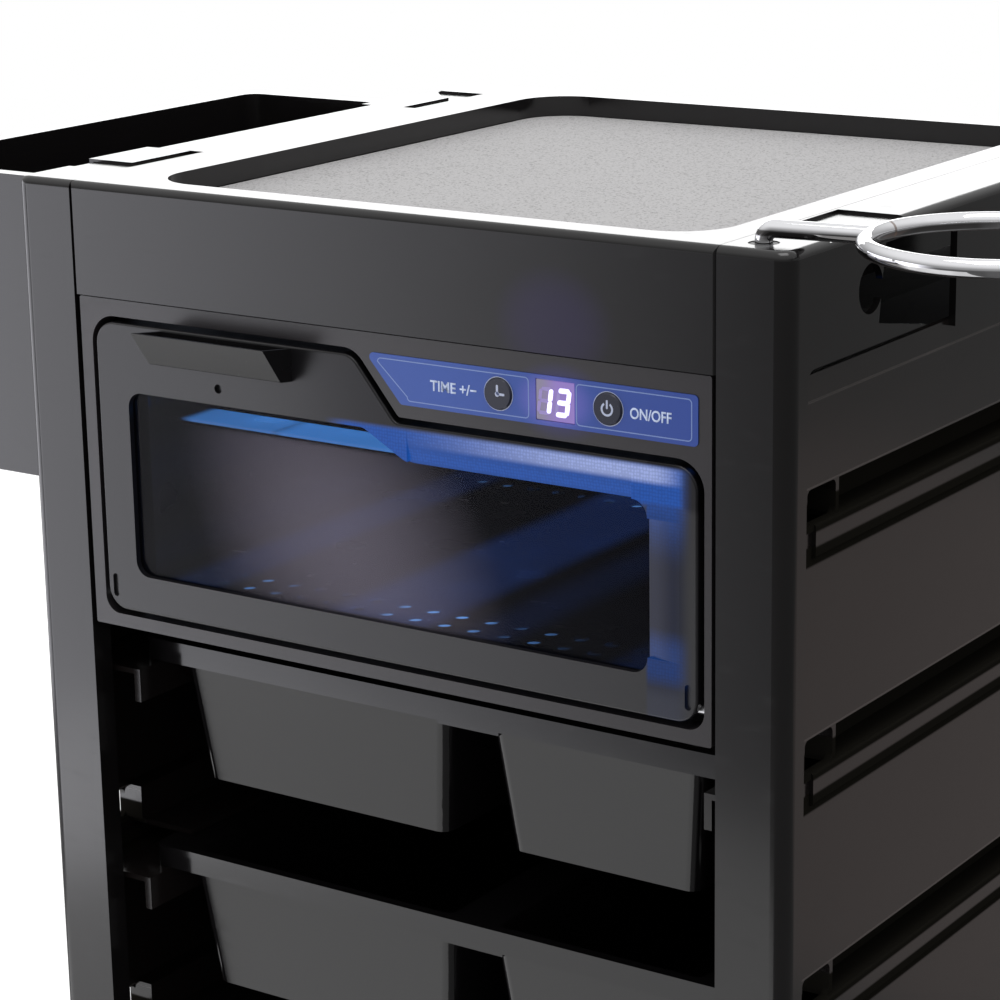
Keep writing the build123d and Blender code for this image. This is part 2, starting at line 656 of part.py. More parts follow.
def castor_hood(x, y):
    """Hood of a twin-wheel castor: stem socket, web between the wheels and a curved cover."""
    axle_y = y + CASTOR_TRAIL
    axle_z = FLOOR + WHEEL_RADIUS
    cover_inner = WHEEL_RADIUS + HOOD_GAP
    cover_outer = cover_inner + HOOD_THICKNESS
    top = STEM_FOOT - FIT_GAP
    axis = (1, 0, 0)
    cover = rod((x - HOOD_COVER_WIDTH / 2, axle_y, axle_z), axis, cover_outer, HOOD_COVER_WIDTH)
    cover -= rod((x - HOOD_COVER_WIDTH, axle_y, axle_z), axis, cover_inner, 2 * HOOD_COVER_WIDTH)
    cover -= block(x - HOOD_COVER_WIDTH, x + HOOD_COVER_WIDTH, y - 3 * WHEEL_RADIUS, y + 5 * WHEEL_RADIUS,
                   FLOOR - WHEEL_RADIUS, axle_z + HOOD_GAP)
    web = rod((x - HOOD_WIDTH / 2, axle_y, axle_z), axis, WHEEL_RADIUS * 0.7, HOOD_WIDTH)
    web += block(x - HOOD_WIDTH / 2, x + HOOD_WIDTH / 2, y - SOCKET_DIAMETER / 3, axle_y + WHEEL_RADIUS / 2,
                 axle_z, axle_z + cover_inner * 0.8)
    socket = rod((x, y, axle_z + WHEEL_RADIUS / 3), (0, 0, 1), SOCKET_DIAMETER / 2,
                 top - axle_z - WHEEL_RADIUS / 3)
    keep_out = rod((x - HOOD_COVER_WIDTH, axle_y, axle_z), axis, WHEEL_RADIUS + WHEEL_GAP,
                   HOOD_COVER_WIDTH - HOOD_WIDTH / 2)
    hood = cover + web
    hood += socket - keep_out - mirror(keep_out, about=Plane(origin=(x, 0, 0), z_dir=(1, 0, 0)))
    hood -= rod((x, y, STEM_FOOT - STEM_DOWN - FIT_GAP), (0, 0, 1), STEM_DIAMETER / 2 + RUNNING_GAP,
                STEM_DOWN + 1)
    hood -= rod((x - HOOD_WIDTH, axle_y, axle_z), axis, AXLE_DIAMETER / 2 + RUNNING_GAP, 2 * HOOD_WIDTH)
    return hood


def castor_wheels(x, y):
    """Two wheels of one castor, each a turned section with a sunk hub."""
    axle_y = y + CASTOR_TRAIL
    axle_z = FLOOR + WHEEL_RADIUS
    inner = HOOD_WIDTH / 2 + WHEEL_GAP
    outer = inner + WHEEL_WIDTH
    bore = AXLE_DIAMETER / 2 + PRESS_GAP
    shoulder = WHEEL_RADIUS - TREAD_CHAMFER
    section = Polyline((inner, bore), (inner, shoulder), (inner + TREAD_CHAMFER, WHEEL_RADIUS),
                       (outer - TREAD_CHAMFER, WHEEL_RADIUS), (outer, shoulder),
                       (outer, HUB_RECESS_DIAMETER / 2), (outer - HUB_RECESS_DEPTH, HUB_RECESS_DIAMETER / 2 - 1),
                       (outer - HUB_RECESS_DEPTH, HUB_CAP_DIAMETER / 2), (outer, HUB_CAP_DIAMETER / 2 - 1),
                       (outer, bore), close=True)
    wheel = revolve(make_face(section), Axis.X)
    right = Pos(x, axle_y, axle_z) * wheel
    left = Pos(x, axle_y, axle_z) * mirror(wheel, about=Plane.YZ)
    return [left, right]


def castor_axle(x, y):
    """Axle pressed in the two wheels, turning in the hood's web."""
    reach = HOOD_WIDTH / 2 + WHEEL_GAP + WHEEL_WIDTH - 1
    return rod((x - reach, y + CASTOR_TRAIL, FLOOR + WHEEL_RADIUS), (1, 0, 0), AXLE_DIAMETER / 2, 2 * reach)


def back_panel():
    """Ribbed back panel with turned edges, from the module down to the base."""
    half = POST_INNER - FIT_GAP
    face = CART_DEPTH - BACK_INSET
    inner = face - BACK_WALL
    top, foot = -BACK_TOP_DROP, BASE_TOP + FIT_GAP
    panel = block(-half, half, face - BACK_FLANGE, face, foot, top)
    panel -= block(-half + BACK_WALL, half - BACK_WALL, face - BACK_FLANGE - 1, inner, foot + BACK_WALL,
                   top - BACK_WALL)
    for index in range(RIB_COUNT):
        z = top + (foot - top) * (index + 1) / (RIB_COUNT + 1)
        rib = block(-half + 3 * RIB_WIDTH, half - 3 * RIB_WIDTH, face, face + RIB_HEIGHT,
                    z - RIB_WIDTH / 2, z + RIB_WIDTH / 2)
        panel += chamfer(rib.faces().sort_by(Axis.Y)[-1].edges(), RIB_HEIGHT * 0.9)
    for x, z in back_screw_places():
        panel += rod((x, RAIL_BACK_END, z), (0, 1, 0), SCREW_HEAD_DIAMETER / 2, inner - RAIL_BACK_END + 1)
        panel -= rod((x, RAIL_BACK_END - 1, z), (0, 1, 0), SCREW_DIAMETER / 2 + PRESS_GAP, BACK_SCREW_LENGTH)
    return panel


def back_screw_place(lip):
    """X and Z of the right back screw of one tray level, in the rail's rear block."""
    return (RAIL_INNER + POST_INNER) / 2, lip - RAIL_PLATE - RAIL_CHANNEL - RAIL_WEB_HEIGHT / 2


def back_screw_places():
    """Screw positions of the back panel, as (X, Z), at every other tray level."""
    right = [back_screw_place(lip) for lip in rail_lips()[1::2]]
    return [(sign * x, z) for sign in (-1, 1) for x, z in right]


def pan_screw(start, direction, length):
    """Pan-head screw; start is under the head and direction points out of the hole."""
    shank_start = tuple(s - d * length for s, d in zip(start, direction))
    screw = rod(shank_start, direction, SCREW_DIAMETER / 2, length)
    head = rod(start, direction, SCREW_HEAD_DIAMETER / 2, SCREW_HEAD_HEIGHT)
    crown = head.faces().filter_by(GeomType.PLANE)
    along = [sum(a * b for a, b in zip(tuple(face.center()), direction)) for face in crown]
    head = chamfer(crown[along.index(max(along))].edges(), SCREW_HEAD_HEIGHT / 2)
    return screw + head


def back_screws():
    """Screws of the back panel."""
    face = CART_DEPTH - BACK_INSET
    return [pan_screw((x, face, z), (0, 1, 0), BACK_SCREW_LENGTH) for x, z in back_screw_places()]


def frame_screws():
    """Screws that hold the sill flanges to the base, heads inside the sills."""
    screws = []
    inside = POST_INNER + FRAME_WALL
    for z in screw_heights():
        for y in screw_depths():
            for side in (-1, 1):
                screws.append(pan_screw((side * inside, y, z), (side, 0, 0), SCREW_LENGTH))
    return screws


def door_outline(grow, foot_corner=DOOR_CORNER):
    """Front view of the stepped door, grown by an amount; the lower corners may be tighter."""
    step = DOOR_LEFT + STEP_START
    shape = outline([
        (DOOR_LEFT, -DOOR_BOTTOM, foot_corner),
        (DOOR_RIGHT, -DOOR_BOTTOM, foot_corner),
        (DOOR_RIGHT, -DOOR_STEP_TOP, DOOR_CORNER),
        (step + STEP_RUN, -DOOR_STEP_TOP, STEP_CORNER),
        (step, -DOOR_TOP, DOOR_CORNER),
        (DOOR_LEFT, -DOOR_TOP, DOOR_CORNER),
    ])
    return offset(shape, grow) if grow else shape


def window_outline(grow):
    """Front view of the window with its eased step, grown by an amount."""
    step = WINDOW_LEFT + WINDOW_STEP_START
    shape = outline([
        (WINDOW_LEFT, -WINDOW_BOTTOM, WINDOW_CORNER),
        (WINDOW_RIGHT, -WINDOW_BOTTOM, WINDOW_CORNER),
        (WINDOW_RIGHT, -WINDOW_STEP_TOP, WINDOW_CORNER),
        (step + WINDOW_STEP_RUN, -WINDOW_STEP_TOP, 2 * WINDOW_CORNER),
        (step, -WINDOW_TOP, WINDOW_CORNER),
        (WINDOW_LEFT, -WINDOW_TOP, WINDOW_CORNER),
    ])
    return offset(shape, grow) if grow else shape


def button_places():
    """X of the time button and of the power button."""
    return {"time_button": LABEL_RIGHT - TIME_BUTTON_BACK, "power_button": LABEL_RIGHT - POWER_BUTTON_BACK}


def board_edges():
    """Left and right edge and bottom and top of the control board."""
    right = DOOR_RIGHT + FIT_GAP
    bottom = -DOOR_STEP_TOP + DOOR_GAP + BEZEL_RETURN + FIT_GAP
    return right - BOARD_LENGTH, right, bottom, bottom + BOARD_HEIGHT


def display_block(gap, y0, y1):
    """Room for the display, grown by a gap."""
    x = LABEL_RIGHT - DISPLAY_BACK
    return block(x - DISPLAY_WIDTH / 2 - gap, x + DISPLAY_WIDTH / 2 + gap, y0, y1,
                 -BUTTON_DROP - DISPLAY_HEIGHT / 2 - gap, -BUTTON_DROP + DISPLAY_HEIGHT / 2 + gap)


def module_bezel():
    """Front frame of the module: plate, outer and inner returns, board bosses, hinge pin holes."""
    plate_back = BEZEL_FRONT + BEZEL_PLATE
    middle = -(BEZEL_TOP + BEZEL_BOTTOM) / 2
    face = Pos(0, middle) * RectangleRounded(2 * BEZEL_HALF, BEZEL_BOTTOM - BEZEL_TOP, BEZEL_CORNER)
    body = front_slab(face, BEZEL_FRONT, BEZEL_BACK)
    room = Pos(0, middle) * Rectangle(2 * (BEZEL_HALF - BEZEL_RETURN), BEZEL_BOTTOM - BEZEL_TOP - 2 * BEZEL_RETURN)
    body -= front_slab(room, plate_back, BEZEL_BACK + 1)
    collar = door_outline(DOOR_GAP + BEZEL_RETURN, OPENING_FOOT_CORNER)
    body += front_slab(collar, plate_back, BEZEL_BACK) & front_slab(face, BEZEL_FRONT, BEZEL_BACK)
    seat_back = HOUSING_FRONT - FIT_GAP
    body += block(-HOUSING_HALF, HOUSING_HALF, plate_back - 1, seat_back, -HOUSING_TOP - HOUSING_WALL, -HOUSING_TOP + 1)
    body += block(-HOUSING_HALF, HOUSING_HALF, plate_back - 1, seat_back,
                  -HOUSING_BOTTOM, -HOUSING_BOTTOM + HOUSING_WALL)
    left, right, bottom, top = board_edges()
    for x in (left + BOARD_BOSS_MARGIN, right - BOARD_BOSS_MARGIN):
        for z in (bottom + BOARD_BOSS_MARGIN, top - BOARD_BOSS_MARGIN):
            body += rod((x, plate_back - 1, z), (0, 1, 0), BOARD_BOSS_DIAMETER / 2, BOARD_FRONT - plate_back + 1)
    body -= front_slab(door_outline(DOOR_GAP, OPENING_FOOT_CORNER), BEZEL_FRONT - 1, BEZEL_BACK + 1)
    for x in button_places().values():
        body -= rod((x, BEZEL_FRONT - 1, -BUTTON_DROP), (0, 1, 0), BUTTON_DIAMETER / 2 + BUTTON_PLAY,
                    BEZEL_PLATE + 2)
    body -= display_block(FIT_GAP, BEZEL_FRONT - 1, plate_back + 1)
    for start, direction in hinge_pin_roots():
        body -= rod(start, direction, HINGE_PIN_DIAMETER / 2 + PRESS_GAP, hinge_pin_length() + 1)
    return body


def hinge_pin_length():
    """Pin length: through the bezel's return, over the gap and into the door's boss."""
    return BEZEL_RETURN + DOOR_GAP + HINGE_BOSS_LENGTH - 1


def hinge_pin_roots():
    """Outer end and inward direction of the two hinge pins."""
    reach = DOOR_GAP + BEZEL_RETURN
    return [((DOOR_LEFT - reach, HINGE_FROM_FRONT, -HINGE_DROP), (1, 0, 0)),
            ((DOOR_RIGHT + reach, HINGE_FROM_FRONT, -HINGE_DROP), (-1, 0, 0))]


def hinge_pins():
    """Two pins on the door's lower edge line."""
    return [rod(start, direction, HINGE_PIN_DIAMETER / 2, hinge_pin_length())
            for start, direction in hinge_pin_roots()]


def roundover_cutter(length):
    """Waste above a shallow arc, drawn for an edge that runs along X at the origin."""
    radius = (ROUNDOVER_WIDTH ** 2 + ROUNDOVER_DEPTH ** 2) / (2 * ROUNDOVER_DEPTH)
    waste = block(0, length, -1, ROUNDOVER_DEPTH, 0, ROUNDOVER_WIDTH)
    core = rod((-1, radius, ROUNDOVER_WIDTH), (1, 0, 0), radius, length + 2)
    return waste - core


def door_frame():
    """Stepped door moulding with skirt, hinge bosses and an eased band over and beside the window."""
    face = door_outline(0)
    body = front_slab(face, 0, DOOR_DEPTH)
    body = fillet(body.faces().sort_by(Axis.Y)[0].edges(), DOOR_EDGE_ROUNDING)
    body -= front_slab(door_outline(-DOOR_SKIRT), DOOR_PLATE, DOOR_DEPTH + 1)
    for side, edge in ((1, DOOR_LEFT), (-1, DOOR_RIGHT)):
        start = (edge + side, HINGE_FROM_FRONT, -HINGE_DROP)
        boss = rod(start, (side, 0, 0), HINGE_BOSS_DIAMETER / 2, HINGE_BOSS_LENGTH - 1)
        body += boss & front_slab(face, 0, DOOR_DEPTH)
    for x, width, height, depth in catch_places():
        body += block(x - width / 2, x + width / 2, DOOR_PLATE - 1, depth,
                      -MAGNET_DROP - height / 2, -MAGNET_DROP + height / 2)
    body -= front_slab(window_outline(0), -1, DOOR_DEPTH)
    band_left = WINDOW_LEFT + WINDOW_STEP_START + WINDOW_STEP_RUN
    across = WINDOW_RIGHT - band_left - WINDOW_CORNER
    body -= Pos(band_left, 0, -WINDOW_STEP_TOP) * roundover_cutter(across)
    down = WINDOW_BOTTOM - WINDOW_STEP_TOP - 2 * WINDOW_CORNER
    upright = Pos(WINDOW_RIGHT, 0, -WINDOW_STEP_TOP - WINDOW_CORNER) * Rot(0, 90, 0) * roundover_cutter(down)
    body -= upright
    body -= rod((DOOR_LEFT + DIMPLE_FROM_LEFT, -1, -DIMPLE_DROP), (0, 1, 0), DIMPLE_DIAMETER / 2, DOOR_PLATE)
    slot_side = HINGE_SLOT_FROM_SIDE + HINGE_SLOT_WIDTH / 2
    for x in (DOOR_LEFT + slot_side, DOOR_RIGHT - slot_side):
        slot = Pos(x, -HINGE_SLOT_DROP) * SlotOverall(HINGE_SLOT_HEIGHT, HINGE_SLOT_WIDTH, rotation=90)
        body -= front_slab(slot, -1, DOOR_PLATE / 2)
    for start, direction in hinge_pin_roots():
        body -= rod(start, direction, HINGE_PIN_DIAMETER / 2 + RUNNING_GAP, hinge_pin_length() + FIT_GAP)
    return body


def catch_places():
    """X, width, height and back of the door's two bosses: for the strike plate and for the switch."""
    return [(DOOR_LEFT + MAGNET_FROM_LEFT, MAGNET_LENGTH, MAGNET_HEIGHT, strike_front()),
            (DOOR_LEFT + DOOR_SWITCH_FROM_LEFT, 2 * PLUNGER_DIAMETER, 2 * PLUNGER_DIAMETER, DOOR_DEPTH)]


def strike_front():
    """Depth of the strike plate's front face."""
    return CHAMBER_FRONT - MAGNET_THICKNESS - FIT_GAP - STRIKE_THICKNESS


def strike_plate():
    """Steel plate on the door that meets the magnet."""
    x = DOOR_LEFT + MAGNET_FROM_LEFT
    return block(x - MAGNET_LENGTH / 2, x + MAGNET_LENGTH / 2, strike_front(), strike_front() + STRIKE_THICKNESS,
                 -MAGNET_DROP - MAGNET_HEIGHT / 2, -MAGNET_DROP + MAGNET_HEIGHT / 2)


def catch_magnet():
    """Magnet block on the chamber's front flange."""
    x = DOOR_LEFT + MAGNET_FROM_LEFT
    return block(x - MAGNET_LENGTH / 2, x + MAGNET_LENGTH / 2, CHAMBER_FRONT - MAGNET_THICKNESS, CHAMBER_FRONT,
                 -MAGNET_DROP - MAGNET_HEIGHT / 2, -MAGNET_DROP + MAGNET_HEIGHT / 2)


def door_window():
    """Smoked pane behind the door's plate."""
    return front_slab(window_outline(PANE_OVERLAP), PANE_FRONT, PANE_FRONT + PANE_THICKNESS)


def window_retainer():
    """Frame that clamps the pane to the door."""
    front = PANE_FRONT + PANE_THICKNESS
    ring = front_slab(window_outline(RETAINER_OVERLAP), front, front + RETAINER_THICKNESS)
    return ring - front_slab(window_outline(RETAINER_MARGIN), front - 1, front + RETAINER_THICKNESS + 1)


def door_handle():
    """Scoop handle: leaning front wall, open on top."""
    x0 = DOOR_LEFT + HANDLE_FROM_LEFT
    x1 = x0 + HANDLE_LENGTH
    wedge = side_slab(outline([(0, -DOOR_TOP - 1, 0), (-HANDLE_REACH_TOP, -HANDLE_TOP, 0),
                               (-HANDLE_REACH_BOTTOM, -HANDLE_BOTTOM, 1),
                               (0, -HANDLE_BOTTOM - 1, 0)]), x0, x1)
    lean = (HANDLE_REACH_TOP - HANDLE_REACH_BOTTOM) / (HANDLE_BOTTOM - HANDLE_TOP)
    floor_z = HANDLE_BOTTOM - HANDLE_WALL
    front_at_floor = HANDLE_REACH_BOTTOM + lean * HANDLE_WALL - 1.25 * HANDLE_WALL
    above = HANDLE_TOP - CUT_MARGIN
    front_above = front_at_floor + lean * (floor_z - above)
    scoop = side_slab(outline([(-HANDLE_WALL, -floor_z, 0), (-front_at_floor, -floor_z, 0),
                               (-front_above, -above, 0), (-HANDLE_WALL, -above, 0)]),
                      x0 + HANDLE_WALL, x1 - HANDLE_WALL)
    return wedge - scoop


def control_label():
    """Printed label with its slanted left end and openings for display and buttons."""
    face = outline([(LABEL_LEFT, -LABEL_TOP, LABEL_CORNER), (LABEL_RIGHT, -LABEL_TOP, LABEL_CORNER),
                    (LABEL_RIGHT, -LABEL_BOTTOM, LABEL_CORNER), (LABEL_LEFT + LABEL_SLOPE, -LABEL_BOTTOM, LABEL_CORNER)])
    label = front_slab(face, BEZEL_FRONT - LABEL_THICKNESS, BEZEL_FRONT)
    for x in button_places().values():
        label -= rod((x, BEZEL_FRONT - 1, -BUTTON_DROP), (0, 1, 0), BUTTON_DIAMETER / 2 + BUTTON_PLAY, 2)
    return label - display_block(FIT_GAP, BEZEL_FRONT - 1, BEZEL_FRONT + 1)


def push_button(x):
    """Round button, eased edge in front and a flange behind the bezel."""
    back = BEZEL_FRONT + BEZEL_PLATE + PRESS_GAP
    front = BEZEL_FRONT - BUTTON_PROUD
    cap = rod((x, front, -BUTTON_DROP), (0, 1, 0), BUTTON_DIAMETER / 2, back - front + BUTTON_FLANGE_THICKNESS / 2)
    cap = chamfer(cap.faces().sort_by(Axis.Y)[0].edges(), BUTTON_PROUD / 3)
    return cap + rod((x, back, -BUTTON_DROP), (0, 1, 0), BUTTON_FLANGE_DIAMETER / 2, BUTTON_FLANGE_THICKNESS)


def tact_switches():
    """Two switches on the control board, one behind each button."""
    front = BEZEL_FRONT + BEZEL_PLATE + BUTTON_FLANGE_THICKNESS + BUTTON_TRAVEL + 2 * PRESS_GAP + RUNNING_GAP
    half = SWITCH_SIZE / 2
    switches = []
    for x in button_places().values():
        body = block(x - half, x + half, front + 1, BOARD_FRONT, -BUTTON_DROP - half, -BUTTON_DROP + half)
        switches.append(body + rod((x, front, -BUTTON_DROP), (0, 1, 0), SWITCH_SIZE / 4, 1.5))
    return switches


def control_board():
    """Circuit board behind the label."""
    left, right, bottom, top = board_edges()
    return block(left, right, BOARD_FRONT, BOARD_FRONT + BOARD_THICKNESS, bottom, top)


def digit_display():
    """Two-digit display, from the label to the board."""
    return display_block(0, BEZEL_FRONT - LABEL_THICKNESS / 2, BOARD_FRONT)


def module_housing():
    """Sheet box of the module, open in front, with runners for the top rails and vents in the back."""
    top, foot = -HOUSING_TOP, -HOUSING_BOTTOM
    wall = HOUSING_WALL
    box = block(-HOUSING_HALF, HOUSING_HALF, HOUSING_FRONT, HOUSING_BACK, foot, top)
    box -= block(-HOUSING_HALF + wall, HOUSING_HALF - wall, HOUSING_FRONT - 1, HOUSING_BACK - wall,
                 foot + wall, top - wall)
    runner_foot = -RAIL_FIRST_DROP - RAIL_PLATE - RAIL_CHANNEL + FIT_GAP
    runner = block(HOUSING_HALF, HOUSING_HALF + RUNNER_WIDTH, HOUSING_FRONT + FIT_GAP, RAIL_BACK_END - FIT_GAP,
                   runner_foot, runner_foot + RUNNER_HEIGHT)
    box += runner + mirrored(runner)
    for index in range(VENT_COUNT):
        x = -INLET_FROM_MIDDLE + VENT_PITCH * index
        slot = Pos(x, -INLET_DROP + INLET_HEIGHT) * SlotOverall(VENT_HEIGHT, VENT_WIDTH, rotation=90)
        box -= front_slab(slot, HOUSING_BACK - wall - 1, HOUSING_BACK + 1)
    box -= inlet_block(FIT_GAP, HOUSING_BACK - wall - 1, HOUSING_BACK + 1)
    return box


def inlet_block(grow, y0, y1):
    """Room of the power inlet, grown by an amount."""
    return block(INLET_FROM_MIDDLE - INLET_WIDTH / 2 - grow, INLET_FROM_MIDDLE + INLET_WIDTH / 2 + grow, y0, y1,
                 -INLET_DROP - INLET_HEIGHT / 2 - grow, -INLET_DROP + INLET_HEIGHT / 2 + grow)


def power_inlet():
    """Appliance inlet: flanged body with a sunk face and three round contacts."""
    wall = HOUSING_WALL
    body = inlet_block(0, HOUSING_BACK - INLET_DEPTH, HOUSING_BACK)
    body += inlet_block(INLET_FLANGE, HOUSING_BACK, HOUSING_BACK + INLET_FLANGE_THICKNESS)
    body -= inlet_block(-wall, HOUSING_BACK - INLET_DEPTH + wall, HOUSING_BACK + INLET_FLANGE_THICKNESS + 1)
    for x, z in ((-INLET_PIN_SPACING, 0), (0, INLET_PIN_SPACING / 2), (INLET_PIN_SPACING, 0)):
        start = (INLET_FROM_MIDDLE + x, HOUSING_BACK - INLET_DEPTH + wall / 2, -INLET_DROP + z)
        body += rod(start, (0, 1, 0), INLET_PIN_DIAMETER / 2, INLET_DEPTH - 2 * wall)
    return body


def uv_chamber():
    """Polished liner: front flange with the mouth, box behind it."""
    edge = HOUSING_HALF - HOUSING_WALL - FIT_GAP
    top = -HOUSING_TOP - HOUSING_WALL - FIT_GAP
    foot = -HOUSING_BOTTOM + HOUSING_WALL + FIT_GAP
    flange_back = CHAMBER_FRONT + CHAMBER_WALL
    liner = block(-edge, edge, CHAMBER_FRONT, flange_back, foot, top)
    liner += block(-CHAMBER_HALF, CHAMBER_HALF, CHAMBER_FRONT, CHAMBER_BACK, -CHAMBER_BOTTOM, -CHAMBER_TOP)
    inner = CHAMBER_HALF - CHAMBER_WALL
    liner -= block(-inner, inner, flange_back, CHAMBER_BACK - CHAMBER_WALL,
                   -CHAMBER_BOTTOM + CHAMBER_WALL, CHAMBER_CEILING)
    mouth = inner - MOUTH_SIDE_MARGIN
    liner -= block(-mouth, mouth, CHAMBER_FRONT - 1, flange_back + 1, -MOUTH_BOTTOM, -MOUTH_TOP)
    x = DOOR_LEFT + DOOR_SWITCH_FROM_LEFT
    return liner - rod((x, CHAMBER_FRONT - 1, -MAGNET_DROP), (0, 1, 0), PLUNGER_DIAMETER / 2 + FIT_GAP, 4)


def door_switch():
    """Plunger switch behind the chamber's front flange."""
    x = DOOR_LEFT + DOOR_SWITCH_FROM_LEFT
    back = CHAMBER_FRONT + CHAMBER_WALL
    body = block(x - DOOR_SWITCH_WIDTH / 2, x + DOOR_SWITCH_WIDTH / 2, back, back + DOOR_SWITCH_DEPTH,
                 -MAGNET_DROP - DOOR_SWITCH_HEIGHT / 2, -MAGNET_DROP + DOOR_SWITCH_HEIGHT / 2)
    tip = DOOR_DEPTH + FIT_GAP
    return body + rod((x, tip, -MAGNET_DROP), (0, 1, 0), PLUNGER_DIAMETER / 2, back - tip + 1)


def uv_lamp():
    """Lamp tube with eased end caps and two pins at each end."""
    half = LAMP_HALF
    radius = LAMP_DIAMETER / 2
    tube = rod((-half, LAMP_FROM_FRONT, -LAMP_DROP), (1, 0, 0), radius, 2 * half)
    tube = chamfer(tube.edges().filter_by(GeomType.CIRCLE), radius / 4)
    for side in (-1, 1):
        for offset_z in (-LAMP_PIN_SPACING / 2, LAMP_PIN_SPACING / 2):
            start = (side * (half - 1), LAMP_FROM_FRONT, -LAMP_DROP + offset_z)
            tube += rod(start, (side, 0, 0), LAMP_PIN_DIAMETER / 2, LAMP_PIN_LENGTH + 1)
    return tube


def lamp_holder():
    """Right lamp holder: block under the ceiling with a slot for the pins."""
    half = LAMP_HALF + FIT_GAP
    y0 = LAMP_FROM_FRONT - HOLDER_DEPTH / 2
    body = block(half, half + HOLDER_WIDTH, y0, y0 + HOLDER_DEPTH, CHAMBER_CEILING - HOLDER_HEIGHT, CHAMBER_CEILING)
    body = fillet(body.edges().filter_by(Axis.X).group_by(Axis.Z)[0], HOLDER_DEPTH / 4)
    slot = LAMP_PIN_DIAMETER / 2 + FIT_GAP
    body -= block(half - 1, half + LAMP_PIN_LENGTH + 1, LAMP_FROM_FRONT - slot, LAMP_FROM_FRONT + slot,
                  CHAMBER_CEILING - HOLDER_HEIGHT - 1, -LAMP_DROP + LAMP_PIN_SPACING)
    return body


def lamp_reflector():
    """Curved strip over the lamp with a mounting rib under the ceiling."""
    length = 2 * (LAMP_HALF - HOLDER_WIDTH)
    start = (-length / 2, LAMP_FROM_FRONT, -LAMP_DROP)
    outer = REFLECTOR_RADIUS + REFLECTOR_THICKNESS
    strip = rod(start, (1, 0, 0), outer, length)
    strip -= rod((start[0] - 1, start[1], start[2]), (1, 0, 0), REFLECTOR_RADIUS, length + 2)
    strip -= block(-length, length, LAMP_FROM_FRONT - 2 * outer, LAMP_FROM_FRONT + 2 * outer,
                   -LAMP_DROP - 2 * outer, -LAMP_DROP + REFLECTOR_RADIUS / 4)
    rib = block(-length / 2, length / 2, LAMP_FROM_FRONT - REFLECTOR_THICKNESS, LAMP_FROM_FRONT + REFLECTOR_THICKNESS,
                -LAMP_DROP + REFLECTOR_RADIUS + REFLECTOR_THICKNESS / 2, CHAMBER_CEILING)
    return strip + rib


def lamp_shield():
    """Strip under the lamp, fixed between the chamber's side walls by turned-up ends."""
    half = CHAMBER_HALF - CHAMBER_WALL - FIT_GAP
    y0 = LAMP_FROM_FRONT - SHIELD_DEPTH / 2
    strip = block(-half, half, y0, y0 + SHIELD_DEPTH, -SHIELD_DROP - SHIELD_THICKNESS, -SHIELD_DROP)
    tab = block(half - SHIELD_THICKNESS, half, y0, y0 + SHIELD_DEPTH, -SHIELD_DROP - SHIELD_THICKNESS / 2,
                -SHIELD_DROP + SHIELD_TAB)
    return strip + tab + mirrored(tab)


def ballast():
    """Lamp ballast in the bay behind the chamber: lidded case with two mounting feet."""
    y0 = CHAMBER_BACK + BALLAST_DEPTH / 2
    foot = -HOUSING_BOTTOM + HOUSING_WALL
    x1 = BALLAST_LENGTH / 4
    case = block(x1 - BALLAST_LENGTH, x1, y0, y0 + BALLAST_DEPTH, foot, foot + BALLAST_HEIGHT)
    case = fillet(case.edges().filter_by(Axis.Z), BALLAST_DEPTH / 12)
    ear = BALLAST_DEPTH / 4
    case += block(x1 - BALLAST_LENGTH - ear, x1 + ear, y0 + ear, y0 + 3 * ear, foot, foot + HOUSING_WALL)
    return case


def chamber_shelf():
    """Perforated shelf on two turned-down edges, with rows of holes along its front and its back."""
    half = CHAMBER_HALF - CHAMBER_WALL - FIT_GAP
    back = CHAMBER_BACK - CHAMBER_WALL - FIT_GAP
    foot = -CHAMBER_BOTTOM + CHAMBER_WALL
    shelf = block(-half, half, SHELF_FRONT, back, foot, -SHELF_DROP)
    shelf -= block(-half + SHELF_THICKNESS, half - SHELF_THICKNESS, SHELF_FRONT - 1, back + 1,
                   foot - 1, -SHELF_DROP - SHELF_THICKNESS)
    last_row = back - (SHELF_FIRST_ROW - SHELF_FRONT)
    rows = [SHELF_FIRST_ROW, SHELF_FIRST_ROW + SHELF_ROW_PITCH, last_row - SHELF_ROW_PITCH, last_row]
    pitch = 2 * (half - SHELF_SIDE_MARGIN) / (SHELF_COLUMNS - 1)
    hole = plan_slab(RegularPolygon(SHELF_HOLE_DIAMETER / 2, SHELF_HOLE_SIDES), -SHELF_DROP - 2 * SHELF_THICKNESS,
                     -SHELF_DROP + SHELF_THICKNESS)
    columns = [pitch * (column - (SHELF_COLUMNS - 1) / 2) for column in range(SHELF_COLUMNS)]
    return shelf - [Pos(x, y, 0) * hole for x in columns for y in rows]


def hair_dryer_ring():
    """One bent wire: upright pin, level arm and horizontal ring."""
    pin_foot = Vector(RING_PIN_X, RING_PIN_FROM_FRONT, -RING_PIN_LENGTH)
    bend_top = Vector(RING_PIN_X, RING_PIN_FROM_FRONT, WIRE_ABOVE_RIM)
    ring_centre = Vector(RING_X, RING_CENTRE_FROM_FRONT, WIRE_ABOVE_RIM)
    arm_end = ring_centre - (ring_centre - bend_top).normalized() * RING_RADIUS
    path = FilletPolyline(pin_foot, bend_top, arm_end, radius=RING_BEND)
    arm = sweep(Plane(origin=pin_foot, z_dir=(0, 0, 1)) * Circle(WIRE_DIAMETER / 2), path=path)
    ring = Pos(*ring_centre) * Torus(RING_RADIUS, WIRE_DIAMETER / 2)
    return arm + ring


